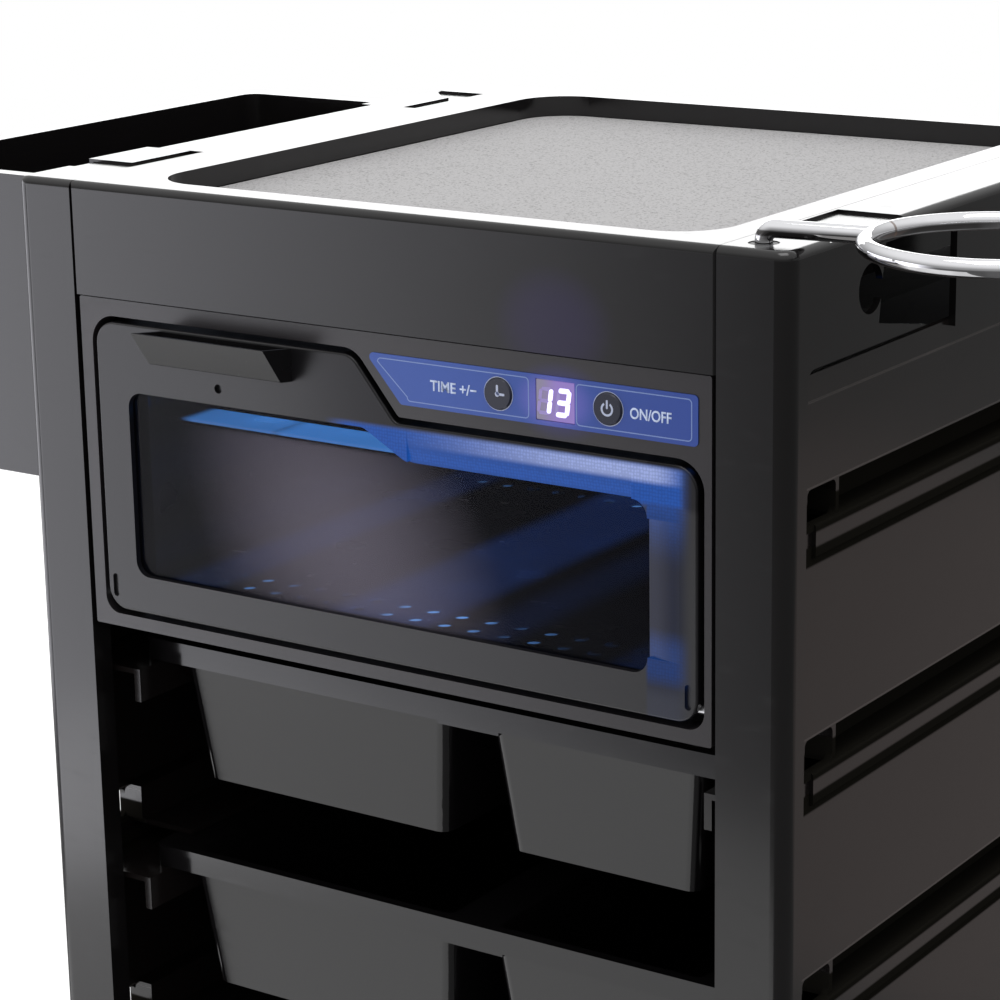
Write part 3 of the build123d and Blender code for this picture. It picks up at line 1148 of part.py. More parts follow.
def ring_bush():
    """Plain bush in the frame's boss for the ring's pin."""
    inner = WIRE_DIAMETER / 2 + RUNNING_GAP
    start = (RING_PIN_X, RING_PIN_FROM_FRONT, -BUSH_LENGTH)
    bush = rod(start, (0, 0, 1), inner + BUSH_WALL, BUSH_LENGTH - FIT_GAP)
    return bush - rod((start[0], start[1], start[2] - 1), (0, 0, 1), inner, BUSH_LENGTH + 2)


def side_bin():
    """Bin on the left skirt: tapered tub with a rim, and at each end a tongue for the seat
    and a plug for the round hole."""
    x1 = -HALF - SIDE_BIN_GAP
    x0 = -SIDE_REACH + SIDE_BIN_RIM
    y0, y1 = SIDE_BIN_FROM_FRONT, CART_DEPTH - SIDE_BIN_FROM_FRONT
    lean = (SIDE_BIN_TAPER, 0, SIDE_BIN_TAPER, SIDE_BIN_TAPER)
    outer, hollow = tub(x0, x1, y0, y1, -SIDE_BIN_TOP, -SIDE_BIN_BOTTOM, lean, SIDE_BIN_CORNER, SIDE_BIN_WALL)
    rim = plan_slab(plan_rectangle(x0 - SIDE_BIN_RIM, x1, y0 - SIDE_BIN_RIM, y1 + SIDE_BIN_RIM, SIDE_BIN_CORNER),
                    -SIDE_BIN_TOP - SIDE_BIN_WALL, -SIDE_BIN_TOP)
    body = rim + outer - hollow
    tongue_y = SEAT_FRONT + SEAT_LENGTH - TONGUE_PLAY - TONGUE_LENGTH
    bridge_x = x1 - SIDE_BIN_WALL
    arm = block(bridge_x, -HALF + TONGUE_REACH, tongue_y, tongue_y + TONGUE_LENGTH, -SEAT_DEPTH, 0)
    arm += block(bridge_x, x1, tongue_y, tongue_y + TONGUE_LENGTH, -SIDE_BIN_TOP - TONGUE_BRIDGE, 0)
    plug = rod((x1 - 1, ACCESSORY_HOLE_FROM_FRONT, -ACCESSORY_HOLE_DROP), (1, 0, 0),
               ACCESSORY_HOLE_DIAMETER / 2 - FIT_GAP, PLUG_LENGTH + 1)
    for piece in (arm, plug):
        body += piece
        body += front_to_back(piece)
    return body


def place(shapes):
    """Move a piece, or a group of like pieces, from the drawing frame to the floor frame."""
    group = shapes if isinstance(shapes, list) else [shapes]
    moved = [Pos(0, FRONT_Y, RIM_HEIGHT) * shape for shape in group]
    solids = [solid for shape in moved for solid in shape.solids()]
    return solids[0] if len(solids) == 1 else Compound(children=solids)


def pieces():
    """Every piece of the cart under its name."""
    right_panel = side_panel()
    holder = lamp_holder()
    parts = {
        "left_side_frame": mirrored(side_frame(False)),
        "right_side_frame": side_frame(True),
        "left_side_panel": mirrored(right_panel),
        "right_side_panel": right_panel,
        "top_tray": top_tray(),
        "rubber_mat": rubber_mat(),
        "base": base(),
        "back_panel": back_panel(),
        "back_screws": back_screws(),
        "frame_screws": frame_screws(),
        "castor_stems": castor_stems(),
        "ring_bush": ring_bush(),
        "hair_dryer_ring": hair_dryer_ring(),
        "side_bin": side_bin(),
        "module_bezel": module_bezel(),
        "module_housing": module_housing(),
        "uv_chamber": uv_chamber(),
        "chamber_shelf": chamber_shelf(),
        "lamp_reflector": lamp_reflector(),
        "lamp_shield": lamp_shield(),
        "uv_lamp": uv_lamp(),
        "lamp_holder_left": mirrored(holder),
        "lamp_holder_right": holder,
        "ballast": ballast(),
        "power_inlet": power_inlet(),
        "control_board": control_board(),
        "tact_switches": tact_switches(),
        "digit_display": digit_display(),
        "control_label": control_label(),
        "hinge_pins": hinge_pins(),
        "catch_magnet": catch_magnet(),
        "door_switch": door_switch(),
        "door_frame": door_frame(),
        "door_window": door_window(),
        "window_retainer": window_retainer(),
        "door_handle": door_handle(),
        "strike_plate": strike_plate(),
    }
    for name, x in button_places().items():
        parts[name] = push_button(x)
    for level, lip in enumerate(rail_lips()[1:], start=1):
        parts[f"tray_{level}"] = tray(lip)
    corners = ("front_left", "front_right", "rear_left", "rear_right")
    for corner, (x, y) in zip(corners, castor_places()):
        parts[f"castor_hood_{corner}"] = castor_hood(x, y)
        parts[f"castor_wheels_{corner}"] = castor_wheels(x, y)
        parts[f"castor_axle_{corner}"] = castor_axle(x, y)
    return parts


def main():
    """Write one STEP file for each piece."""
    os.makedirs("parts", exist_ok=True)
    for name, shape in pieces().items():
        solid = place(shape)
        export_step(solid, f"parts/{name}.step")
        print(f"{name}: {len(solid.solids())} solid, volume {solid.volume:.0f} mm3")


main()
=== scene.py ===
"""Finishes, printed controls, lit cabinet and studio for a trolley with a UV cabinet in its top bay."""

import json
import logging
import math
from dataclasses import dataclass, field, replace
from enum import Enum
from typing import Any, Optional, Sequence, Union

import bmesh
import bpy
from mathutils import Matrix, Vector

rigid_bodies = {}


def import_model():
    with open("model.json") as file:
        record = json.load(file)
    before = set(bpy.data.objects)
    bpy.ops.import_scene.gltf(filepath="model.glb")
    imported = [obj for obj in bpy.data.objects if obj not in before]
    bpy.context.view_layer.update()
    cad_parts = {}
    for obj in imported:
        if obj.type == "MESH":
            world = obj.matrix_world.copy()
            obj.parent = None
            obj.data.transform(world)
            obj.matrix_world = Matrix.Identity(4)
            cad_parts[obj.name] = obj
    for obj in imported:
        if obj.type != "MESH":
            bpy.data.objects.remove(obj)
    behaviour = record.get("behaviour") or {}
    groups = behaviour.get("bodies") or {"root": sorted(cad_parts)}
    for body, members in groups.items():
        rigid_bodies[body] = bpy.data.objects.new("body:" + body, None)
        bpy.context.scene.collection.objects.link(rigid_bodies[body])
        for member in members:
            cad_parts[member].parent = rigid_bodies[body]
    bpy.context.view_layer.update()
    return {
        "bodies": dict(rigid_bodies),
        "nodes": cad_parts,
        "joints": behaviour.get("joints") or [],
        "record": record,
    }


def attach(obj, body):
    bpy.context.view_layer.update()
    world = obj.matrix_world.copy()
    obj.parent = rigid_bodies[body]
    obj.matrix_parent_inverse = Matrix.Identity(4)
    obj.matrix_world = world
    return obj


LOG = logging.getLogger("trolley")

Number = Union[int, float]
Colour = tuple[float, float, float]
Ends = tuple[float, float]

# Front plane and rim of the trolley in the row frame, in metres
FRONT_Y = -0.1621
RIM_Z = 0.830
# Depths between which a glow on the front faces fades out, in mm behind the front plane
FRONT_FACES: Ends = (8.0, 5.0)
GLOSS_BLACK: Colour = (0.0055, 0.0048, 0.0050)
# Colour of the painted shade laid over the hollows of a moulding
PAINTED_SHADE_BLACK: Colour = (0.012, 0.011, 0.009)


def at(x: Number, y: Number, z: Number) -> Vector:
    """Turn a place on the cart, in mm from the top front edge's middle, into the row frame.

    Args:
        x: Millimetres to the right of the middle.
        y: Millimetres behind the front plane.
        z: Millimetres above the rim, so most values are negative.

    Returns:
        The place in metres.
    """
    return Vector((x / 1000, FRONT_Y + y / 1000, RIM_Z + z / 1000))


def grey(value: float) -> Colour:
    """Neutral colour of one value."""
    return value, value, value


def darker(colour: Colour, share: float) -> Colour:
    """Colour with each part at a share of itself."""
    return tuple(part * share for part in colour)


def lighter(colour: Colour) -> Colour:
    """Colour of the flow marks and fine dust on a plastic."""
    return tuple(min(1.0, part * 1.5 + 0.004) for part in colour)


class Ray(Enum):
    """Kind of ray that a backdrop tells apart."""

    CAMERA = "Is Camera Ray"
    TRANSMISSION = "Is Transmission Ray"
    GLOSSY = "Is Glossy Ray"


class Axis(Enum):
    """Axis of the trolley, by its number in a vector."""

    ACROSS = 0
    DEEP = 1
    UP = 2


class Term:
    """A node socket that takes part in arithmetic."""

    def __init__(self, graph: "Graph", socket: Any) -> None:
        """Hold the graph and the output socket."""
        self.graph = graph
        self.socket = socket

    def _math(self, operation: str, *values: Any) -> "Term":
        """Add one Math node over the given values."""
        return self.graph.node("ShaderNodeMath", {"operation": operation}, dict(enumerate(values)))

    def __add__(self, other: Any) -> "Term":
        """Sum."""
        return self._math("ADD", self, other)

    __radd__ = __add__

    def __mul__(self, other: Any) -> "Term":
        """Product."""
        return self._math("MULTIPLY", self, other)

    __rmul__ = __mul__

    def __sub__(self, other: Any) -> "Term":
        """Difference."""
        return self._math("SUBTRACT", self, other)

    def __rsub__(self, other: Any) -> "Term":
        """Difference, the other way round."""
        return self._math("SUBTRACT", other, self)

    def __truediv__(self, other: Any) -> "Term":
        """Quotient."""
        return self._math("DIVIDE", self, other)

    def __mod__(self, other: Any) -> "Term":
        """Remainder, never negative."""
        return self._math("FLOORED_MODULO", self, other)

    def __pow__(self, other: Any) -> "Term":
        """Power."""
        return self._math("POWER", self, other)

    def __abs__(self) -> "Term":
        """Absolute value."""
        return self._math("ABSOLUTE", self)

    def above(self, edge: Number) -> "Term":
        """1 where the value is over an edge, else 0."""
        return self._math("GREATER_THAN", self, edge)

    def least(self, other: Any) -> "Term":
        """The smaller of two values."""
        return self._math("MINIMUM", self, other)

    def most(self, other: Any) -> "Term":
        """The larger of two values."""
        return self._math("MAXIMUM", self, other)

    def span(self, low: Number, high: Number, out_low: Number = 0.0, out_high: Number = 1.0) -> "Term":
        """Map a range smoothly on another and clamp it.

        Args:
            low: Value that gives out_low.
            high: Value that gives out_high.
            out_low: Result at low and below.
            out_high: Result at high and above.

        Returns:
            The mapped value.
        """
        settings = {"interpolation_type": "SMOOTHSTEP"}
        values = {"Value": self, "From Min": low, "From Max": high, "To Min": out_low, "To Max": out_high}
        return self.graph.node("ShaderNodeMapRange", settings, values)


class Graph:
    """Builder for the node tree of a material, a world or a lamp."""

    def __init__(self, name: str, owner: Any = None, output: str = "ShaderNodeOutputMaterial") -> None:
        """Start a tree with nothing but its output.

        Args:
            name: Name of the material that is made when there is no owner.
            owner: World or lamp that holds the tree instead of a new material.
            output: Type of the output node.
        """
        self.material = owner or bpy.data.materials.new(name)
        self.material.use_nodes = True
        self.tree = self.material.node_tree
        self.tree.nodes.clear()
        self.output = self.tree.nodes.new(output)
        self.place = self.node("ShaderNodeTexCoord", {}, {}, "Object")

    def node(
        self,
        kind: str,
        settings: dict[str, Any],
        values: dict[Union[int, str], Any],
        out: Union[int, str] = 0,
    ) -> Term:
        """Add a node.

        Args:
            kind: Blender's type name of the node.
            settings: Attributes set first; "stops" fills a colour ramp.
            values: Constants or terms for the inputs, by name or number.
            out: Output that the term stands for.

        Returns:
            The chosen output.
        """
        made = self.tree.nodes.new(kind)
        for key, value in settings.items():
            if key == "stops":
                self._fill_ramp(made.color_ramp, value)
            else:
                setattr(made, key, value)
        for key, value in values.items():
            if isinstance(value, Term):
                self.tree.links.new(value.socket, made.inputs[key])
            else:
                made.inputs[key].default_value = value
        return Term(self, made.outputs[out])

    @staticmethod
    def _fill_ramp(ramp: Any, stops: Sequence[tuple[float, Colour]]) -> None:
        """Give a colour ramp its stops."""
        while len(ramp.elements) > 2:
            ramp.elements.remove(ramp.elements[-1])
        for index, (position, colour) in enumerate(stops):
            element = ramp.elements[index] if index < 2 else ramp.elements.new(position)
            element.position = position
            element.color = (*colour, 1.0)

    def noise(self, scale: float, detail: float = 3.0, stretch: Optional[Vector] = None) -> Term:
        """Noise over the object's own coordinates.

        Args:
            scale: Cells in a metre.
            detail: Octaves.
            stretch: Scale of each axis, for brushed or streaked noise.

        Returns:
            The noise factor.
        """
        place = self.place
        if stretch is not None:
            place = self.node("ShaderNodeMapping", {}, {"Vector": place, "Scale": stretch})
        return self.node("ShaderNodeTexNoise", {}, {"Vector": place, "Scale": scale, "Detail": detail})

    def cells(self, scale: float, randomness: float = 1.0) -> Term:
        """Voronoi cells over the object's own coordinates."""
        values = {"Vector": self.place, "Scale": scale, "Randomness": randomness}
        return self.node("ShaderNodeTexVoronoi", {}, values, "Distance")

    def axes(self, place: Optional[Term] = None) -> tuple[Term, Term, Term]:
        """The three parts of a vector, by default of the object coordinates in metres."""
        split = self.node("ShaderNodeSeparateXYZ", {}, {"Vector": place or self.place}).socket.node
        return tuple(Term(self, split.outputs[index]) for index in range(3))

    def ramp(self, axis: Axis, ends: Ends, low: float = 0.0, high: float = 1.0) -> Term:
        """Change smoothly between two places along an axis of the trolley.

        Args:
            axis: Axis along which the value changes.
            ends: Where the change starts and ends, in mm.
            low: Value before the start.
            high: Value past the end.

        Returns:
            The changing value.
        """
        start, end = (at(place, place, place)[axis.value] for place in ends)
        return self.axes()[axis.value].span(start, end, low, high)

    def ray(self, kind: Ray) -> Term:
        """1 for one kind of ray, else 0."""
        return self.node("ShaderNodeLightPath", {}, {}, kind.value)

    def blend(self, mask: Any, low: Any, high: Any) -> Term:
        """Mix two colours by a mask."""
        low = (*low, 1.0) if isinstance(low, tuple) else low
        high = (*high, 1.0) if isinstance(high, tuple) else high
        return self.node("ShaderNodeMix", {"data_type": "RGBA"}, {0: mask, 6: low, 7: high}, 2)

    def bump(self, height: Term, depth_mm: float, strength: float = 1.0) -> Term:
        """Bump from a height of 0 to 1."""
        values = {"Height": height, "Distance": depth_mm / 1000, "Strength": strength}
        return self.node("ShaderNodeBump", {}, values)

    def surface(self, shader: Term) -> None:
        """Put a shader on the output."""
        self.tree.links.new(shader.socket, self.output.inputs["Surface"])

    def close(self, painted_shade: Optional[Term] = None, **inputs: Any) -> bpy.types.Material:
        """Join the inputs in a Principled shader.

        Args:
            painted_shade: Share of painted shade laid over the result: a dark matte shader where a part's
                hollows mirror little of the room.
            **inputs: Socket names with spaces written as underscores.

        Returns:
            The finished material.
        """
        values = {}
        for key, value in inputs.items():
            if isinstance(value, tuple) and len(value) == 3:
                value = (*value, 1.0)
            values[key.replace("_", " ")] = value
        shader = self.node("ShaderNodeBsdfPrincipled", {}, values, "BSDF")
        if painted_shade is not None:
            # Painted shade: a dark matte shader mixed in by the mask
            shade_inputs = {"Base Color": (*PAINTED_SHADE_BLACK, 1.0), "Roughness": 1.0, "Specular IOR Level": 0.0}
            painted_dark = self.node("ShaderNodeBsdfPrincipled", {}, shade_inputs, "BSDF")
            shader = self.node("ShaderNodeMixShader", {}, {0: painted_shade, 1: shader, 2: painted_dark})
        self.surface(shader)
        return self.material


@dataclass(frozen=True)
class Halo:
    """Soft round glow that a lamp throws on the front of a part.

    Attributes:
        x: Its middle, in mm from the trolley's middle.
        z: Its height, in mm from the rim.
        wide: Millimetres to where it has faded, sideways.
        tall: Millimetres to where it has faded, upwards.
        colour: Its colour in the middle.
    """

    x: float
    z: float
    wide: float
    tall: float
    colour: Colour

    def light(self, g: Graph) -> Term:
        """Colour of the glow over the part."""
        x, _, z = g.axes()
        across = (x - at(self.x, 0, 0).x) / (self.wide / 1000)
        up = (z - at(0, 0, self.z).z) / (self.tall / 1000)
        near = (across * across + up * up).span(0.0, 1.0, 1.0, 0.0) * g.ramp(Axis.DEEP, FRONT_FACES)
        return g.blend(near, grey(0.0), self.colour)


@dataclass(frozen=True)
class MouldedPlastic:
    """Injection-moulded plastic with faint flow marks, fine dust and an uneven gloss.

    Attributes:
        name: Name of the material.
        colour: Colour of the plastic.
        rough: Roughness of the cleanest spots.
        spread: How much duller the dullest spots are.
        grain_mm: Depth of the surface grain.
        grain: Cells in a metre of the grain.
        ripple_mm: Depth of the slow waves of a large moulding.
        halo: Glow on its front, if a lamp is near.
    """

    name: str
    colour: Colour
    rough: float = 0.16
    spread: float = 0.10
    grain_mm: float = 0.004
    grain: float = 2400.0
    ripple_mm: float = 0.12
    halo: Optional[Halo] = None

    def material(self) -> bpy.types.Material:
        """Make the material."""
        g = Graph(self.name)
        flow = g.noise(9.0, 2.0, Vector((1.0, 1.0, 0.35)))
        dust = g.noise(900.0, 4.0).span(0.62, 0.78)
        scuff = g.noise(60.0, 5.0, Vector((1.0, 1.0, 4.0))).span(0.55, 0.75)
        base = g.blend(flow * 0.5 + dust * 0.35, self.colour, lighter(self.colour))
        rough = self.rough + self.spread * (scuff * 0.6 + flow * 0.4) + dust * 0.05
        fine = g.bump(g.noise(self.grain, 2.0), self.grain_mm)
        values = {"Height": g.noise(14.0, 1.0), "Distance": self.ripple_mm / 1000, "Normal": fine}
        normal = g.node("ShaderNodeBump", {}, values)
        inputs = {"Base_Color": self.edges(g, base), "Roughness": rough, "Normal": normal}
        if self.halo is not None:
            inputs.update(Emission_Color=self.halo.light(g), Emission_Strength=1.0)
        return g.close(self.painted_hollow_shade(g), **inputs)

    def edges(self, g: Graph, base: Term) -> Term:
        """Colour with painted highlight lines along edges, if the moulding has them."""
        return base

    def painted_hollow_shade(self, g: Graph) -> Optional[Term]:
        """Mask of painted shade in the moulding's hollows, if it has them."""
        return None


@dataclass(frozen=True)
class RailPanel(MouldedPlastic):
    """Side panel with painted shade in the hollows above and below the ridge of each tray level, and
    painted highlight lines.

    Attributes:
        first: Height of the first level's lip, in mm from the rim.
        pitch: Distance from one level to the next.
        levels: Number of levels.
        above: Lower and upper end of the painted shade over the lip, in mm from the lip.
        below: Lower and upper end of the painted shade under the lip.
        edge: Ends of the painted highlight line over the upper band of painted shade.
        edge_soft: Millimetres over which that line fades.
        band_highlight: Ends of the painted highlight line along the raised band, in mm from the rim.
        band_highlight_soft: Millimetres over which that line fades.
        line: Colour of the painted highlight lines.
        soft: Millimetres over which a band of painted shade fades.
        skin: Distance of the outer skin from the trolley's middle.
        ends: Front and rear end of the painted shade and highlights, in mm from the front plane.
        ends_soft: Millimetres over which both ends fade.
    """

    first: float = -109.0
    pitch: float = 101.0
    levels: int = 6
    above: Ends = (-3.6, 9.5)
    below: Ends = (-17.5, -8.0)
    edge: Ends = (14.0, 15.2)
    edge_soft: float = 0.4
    band_highlight: Ends = (-61.0, -59.9)
    band_highlight_soft: float = 0.3
    line: Colour = (0.060, 0.052, 0.050)
    soft: float = 1.4
    skin: float = 176.0
    ends: Ends = (16.0, 334.0)
    ends_soft: float = 2.0

    def edges(self, g: Graph, base: Term) -> Term:
        """Painted highlight line over every upper band of painted shade and along the raised band."""
        _, _, z = g.axes()
        height = (z - at(0, 0, 0).z) * 1000
        highlights_over_hollows = self._band(self._level(z), self.edge, self.edge_soft)
        lines = highlights_over_hollows.most(self._band(height, self.band_highlight, self.band_highlight_soft))
        return g.blend(lines * self._skin(g), base, self.line)

    def painted_hollow_shade(self, g: Graph) -> Optional[Term]:
        """Painted shade in both hollows of every level."""
        _, _, z = g.axes()
        level = self._level(z)
        both = self._band(level, self.above, self.soft).most(self._band(level, self.below, self.soft))
        return both * self._skin(g)

    def _level(self, z: Term) -> Term:
        """Height over the nearest lip, in mm."""
        middle = self.pitch / 2
        return ((z - at(0, 0, self.first).z) * 1000 + middle) % self.pitch - middle

    def _skin(self, g: Graph) -> Term:
        """1 on the outer skin over the lowest level, between the posts."""
        x, _, z = g.axes()
        front, rear = self.ends
        along = g.ramp(Axis.DEEP, (front, front + self.ends_soft))
        along = along * g.ramp(Axis.DEEP, (rear, rear - self.ends_soft))
        foot = self.first - self.pitch * (self.levels - 0.5)
        return abs(x).above(self.skin / 1000) * along * z.above(at(0, 0, foot).z)

    @staticmethod
    def _band(height: Term, ends: Ends, soft: float) -> Term:
        """One band with soft edges."""
        low, high = ends
        return height.span(low, low + soft) * height.span(high, high - soft)


@dataclass(frozen=True)
class SpeckledRubber:
    """Grey rubber mat with dark and light specks and a pebbled face.

    Attributes:
        name: Name of the material.
        colour: Colour of the ground.
    """

    name: str
    colour: Colour

    def material(self) -> bpy.types.Material:
        """Make the material."""
        g = Graph(self.name)
        dark = g.noise(820.0, 3.0).span(0.55, 0.64)
        light = g.noise(1050.0, 2.0).span(0.60, 0.68)
        cloud = g.noise(18.0, 3.0)
        ground = g.blend(cloud, darker(self.colour, 0.9), self.colour)
        specked = g.blend(dark * 0.60, ground, darker(self.colour, 0.28))
        base = g.blend(light * 0.45, specked, grey(0.75))
        rough = 0.62 + 0.2 * cloud
        return g.close(Base_Color=base, Roughness=rough, Normal=g.bump(g.cells(1300.0), 0.12, 0.7))


@dataclass(frozen=True)
class Metal:
    """Plated, drawn or brushed metal.

    Attributes:
        name: Name of the material.
        colour: Colour of the reflection.
        rough: Roughness of the cleanest spots.
        spread: How much duller the smudges are.
        lines: Direction and density of drawn lines.
        line_mm: Depth of the drawn lines.
    """

    name: str
    colour: Colour
    rough: float = 0.05
    spread: float = 0.08
    lines: Vector = field(default_factory=lambda: Vector((1.0, 1.0, 1.0)))
    line_mm: float = 0.001

    def material(self) -> bpy.types.Material:
        """Make the material."""
        g = Graph(self.name)
        smudge = g.noise(45.0, 4.0).span(0.45, 0.75)
        drawn = g.noise(700.0, 3.0, self.lines)
        base = g.blend(smudge * 0.4, self.colour, darker(self.colour, 0.78))
        rough = self.rough + self.spread * (smudge * 0.7 + drawn * 0.3)
        return g.close(Base_Color=self.shade(g, base), Metallic=1.0, Roughness=rough,
                       Normal=g.bump(drawn, self.line_mm))

    def shade(self, g: Graph, base: Term) -> Term:
        """Colour with whatever darkens it in places."""
        return base


@dataclass(frozen=True)
class ChromeWire(Metal):
    """Chromed wire with a painted dark reflection along its side, and brown at the weld behind the arm.

    Attributes:
        core_z: Height of the painted dark reflection streak, in mm from the rim.
        core: Half its height.
        dark_reflection: Colour of the painted dark reflection streak.
        centre: Middle of the ring, in mm from the trolley's middle and its front plane.
        weld: Direction of the weld as seen from there, in degrees.
        brown: Colour of the weld.
    """

    core_z: float = 4.2
    core: float = 1.5
    dark_reflection: Colour = (0.05, 0.045, 0.042)
    centre: tuple[float, float] = (263.7, 26.2)
    weld: float = 173.0
    brown: Colour = (0.26, 0.20, 0.17)

    def shade(self, g: Graph, base: Term) -> Term:
        """Painted dark reflection streak with ragged ends, and the weld."""
        x, y, z = g.axes()
        drift = g.noise(22.0, 2.0) * 2.4 - 1.2
        height = abs((z - at(0, 0, self.core_z).z) * 1000 + drift)
        streak = height.span(self.core * 0.5, self.core, 0.86, 0.0)
        streak = streak * g.noise(30.0, 3.0).span(0.38, 0.55, 0.35, 1.0)
        with_dark_reflection = g.blend(streak, base, self.dark_reflection)
        middle = at(*self.centre, 0)
        turn = math.radians(self.weld)
        off = (x - middle.x) * (1000 * math.sin(turn)) - (y - middle.y) * (1000 * math.cos(turn))
        seam = abs(off).span(0.4, 1.0, 0.8, 0.0)
        side = (y - middle.y).above(0.0)
        return g.blend(seam * side, with_dark_reflection, self.brown)


@dataclass(frozen=True)
class Patch:
    """Soft patch of light on a part.

    Attributes:
        start: Its left end, in mm from the trolley's middle.
        end: Its right end.
        soft: Millimetres over which it fades at both ends.
        share: Share of the full light in it.
    """

    start: float
    end: float
    soft: float = 12.0
    share: float = 1.0

    def mask(self, g: Graph) -> Term:
        """Light of the patch along X."""
        left = g.ramp(Axis.ACROSS, (self.start, self.start + self.soft))
        return left * g.ramp(Axis.ACROSS, (self.end, self.end - self.soft)) * self.share


@dataclass(frozen=True)
class GlowingLiner:
    """Polished liner that the lamp lights in patches at one level.

    Attributes:
        name: Name of the material.
        colour: Colour of the metal.
        glow: Colour of the lamp's light on it.
        strength: Strength of that light at its brightest.
        bright_z: Height of the brightest level, in mm from the rim.
        reach: Millimetres over which the light fades.
        patches: Where along X the light falls.
        front: Depths between which the light sets in, in mm from the front plane.
    """

    name: str
    colour: Colour
    glow: Colour
    strength: float
    bright_z: float
    reach: float
    patches: tuple[Patch, ...]
    front: Ends = (15.0, 19.0)

    def material(self) -> bpy.types.Material:
        """Make the material."""
        g = Graph(self.name)
        smudge = g.noise(30.0, 4.0).span(0.4, 0.75)
        _, _, z = g.axes()
        level = abs(z - at(0, 0, self.bright_z).z).span(0.0, self.reach / 1000, 1.0, 0.0)
        along = self.patches[0].mask(g)
        for patch in self.patches[1:]:
            along = along.most(patch.mask(g))
        fade = level * g.ramp(Axis.DEEP, self.front) * along * (0.7 + 0.3 * smudge)
        base = g.blend(smudge * 0.5, self.colour, darker(self.colour, 0.75))
        light = g.blend(fade, grey(0.0), self.glow)
        return g.close(
            Base_Color=base,
            Metallic=0.9,
            Roughness=0.16 + 0.14 * smudge,
            Normal=g.bump(g.noise(25.0, 2.0), 0.25),
            Emission_Color=light,
            Emission_Strength=self.strength,
        )


@dataclass(frozen=True)
class SmokedPane:
    """Tinted clear sheet, greyer in the middle with a painted reflection of the room.

    Attributes:
        name: Name of the material.
        tint: Colour of the sheet.
        reflection_grey: Colour of the painted soft reflection in its middle.
        clear: Share of light that the sheet lets through.
        shine: Strength of the mirrored light of its coated face.
        middle: Middle of the reflection, in mm from the trolley's middle and its rim.
        wide: Millimetres to where it has faded, sideways.
        tall: Millimetres to where it has faded, upwards.
        lean: How far it leans to the left for each step up.
        fall: How steeply it fades.
        top: Heights between which the retainer's shadow ends it.
    """

    name: str
    tint: Colour
    reflection_grey: Colour
    clear: float
    shine: float = 0.10
    middle: tuple[float, float] = (-21.0, -143.0)
    wide: float = 84.0
    tall: float = 105.0
    lean: float = 0.3
    fall: float = 1.7
    top: Ends = (-99.8, -102.4)

    def material(self) -> bpy.types.Material:
        """Make the material."""
        g = Graph(self.name)
        x, _, z = g.axes()
        rise = z - at(0, 0, self.middle[1]).z
        across = (x - at(self.middle[0], 0, 0).x + rise * self.lean) / (self.wide / 1000)
        level = rise / (self.tall / 1000)
        near = 1.0 - (across * across + level * level).least(1.0)
        reflection_grey = near ** self.fall * g.ramp(Axis.UP, self.top)
        dust = g.noise(1200.0, 4.0).span(0.66, 0.8)
        base = g.blend(reflection_grey, self.tint, self.reflection_grey)
        return g.close(
            Base_Color=g.blend(dust * 0.2, base, grey(0.2)),
            Roughness=0.07 + 0.05 * reflection_grey + 0.1 * dust,
            Alpha=1.0 - self.clear,
            Normal=g.bump(g.noise(12.0, 1.0), 0.1),
            Specular_IOR_Level=self.shine,
        )


@dataclass(frozen=True)
class LitPrint:
    """Printed or lit mark.

    Attributes:
        name: Name of the material.
        colour: Colour of the print.
        glow: Strength of its own light; on the printed marks, which are no lamps, it is a painted glow.
        uneven: How uneven the print is, from 0 to 1.
    """

    name: str
    colour: Colour
    glow: float = 0.0
    uneven: float = 0.15

    def material(self) -> bpy.types.Material:
        """Make the material."""
        g = Graph(self.name)
        patch = g.noise(1600.0, 3.0)
        base = g.blend(patch * self.uneven, self.colour, darker(self.colour, 0.6))
        return g.close(
            Base_Color=base,
            Roughness=0.35 + 0.1 * patch,
            Emission_Color=base,
            Emission_Strength=self.glow,
        )


@dataclass(frozen=True)
class BlueLabel:
    """Satin blue label with a fine screen texture, paler towards its left and under the display's light.

    Attributes:
        name: Name of the material.
        colour: Blue at the right end.
        pale: Blue at the left end.
        halo: Glow of the display.
        ends: Where the pale and the full blue are reached, in mm from the trolley's middle.
    """

    name: str
    colour: Colour
    pale: Colour
    halo: Halo
    ends: Ends = (20.0, 150.0)

    def material(self) -> bpy.types.Material:
        """Make the material."""
        g = Graph(self.name)
        screen = g.noise(3200.0, 1.0)
        ground = g.blend(g.ramp(Axis.ACROSS, self.ends), self.pale, self.colour)
        return g.close(
            Base_Color=g.blend(screen * 0.25, ground, darker(self.colour, 0.7)),
            Roughness=0.34 + 0.1 * screen,
            Normal=g.bump(screen, 0.01),
            Emission_Color=self.halo.light(g),
            Emission_Strength=1.0,
        )


@dataclass(frozen=True)
class LitFront:
    """Diffusing front of the display, grey at its dark side and violet beside the digits.

    Attributes:
        name: Name of the material.
        dark: Light of the side without digits.
        violet: Light beside the digits.
        face: Colour of the front itself.
        cloud: Colour of its darker spots.
        ends: Where the dark side ends and the violet one starts, in mm from the trolley's middle.
    """

    name: str
    dark: Colour
    violet: Colour
    face: Colour = (0.05, 0.045, 0.07)
    cloud: Colour = (0.03, 0.03, 0.05)
    ends: Ends = (80.0, 90.0)

    def material(self) -> bpy.types.Material:
        """Make the material."""
        g = Graph(self.name)
        patch = g.noise(500.0, 2.0)
        return g.close(
            Base_Color=g.blend(patch * 0.4, self.face, self.cloud),
            Roughness=0.4 + 0.1 * patch,
            Emission_Color=g.blend(g.ramp(Axis.ACROSS, self.ends), self.dark, self.violet),
            Emission_Strength=1.0,
        )


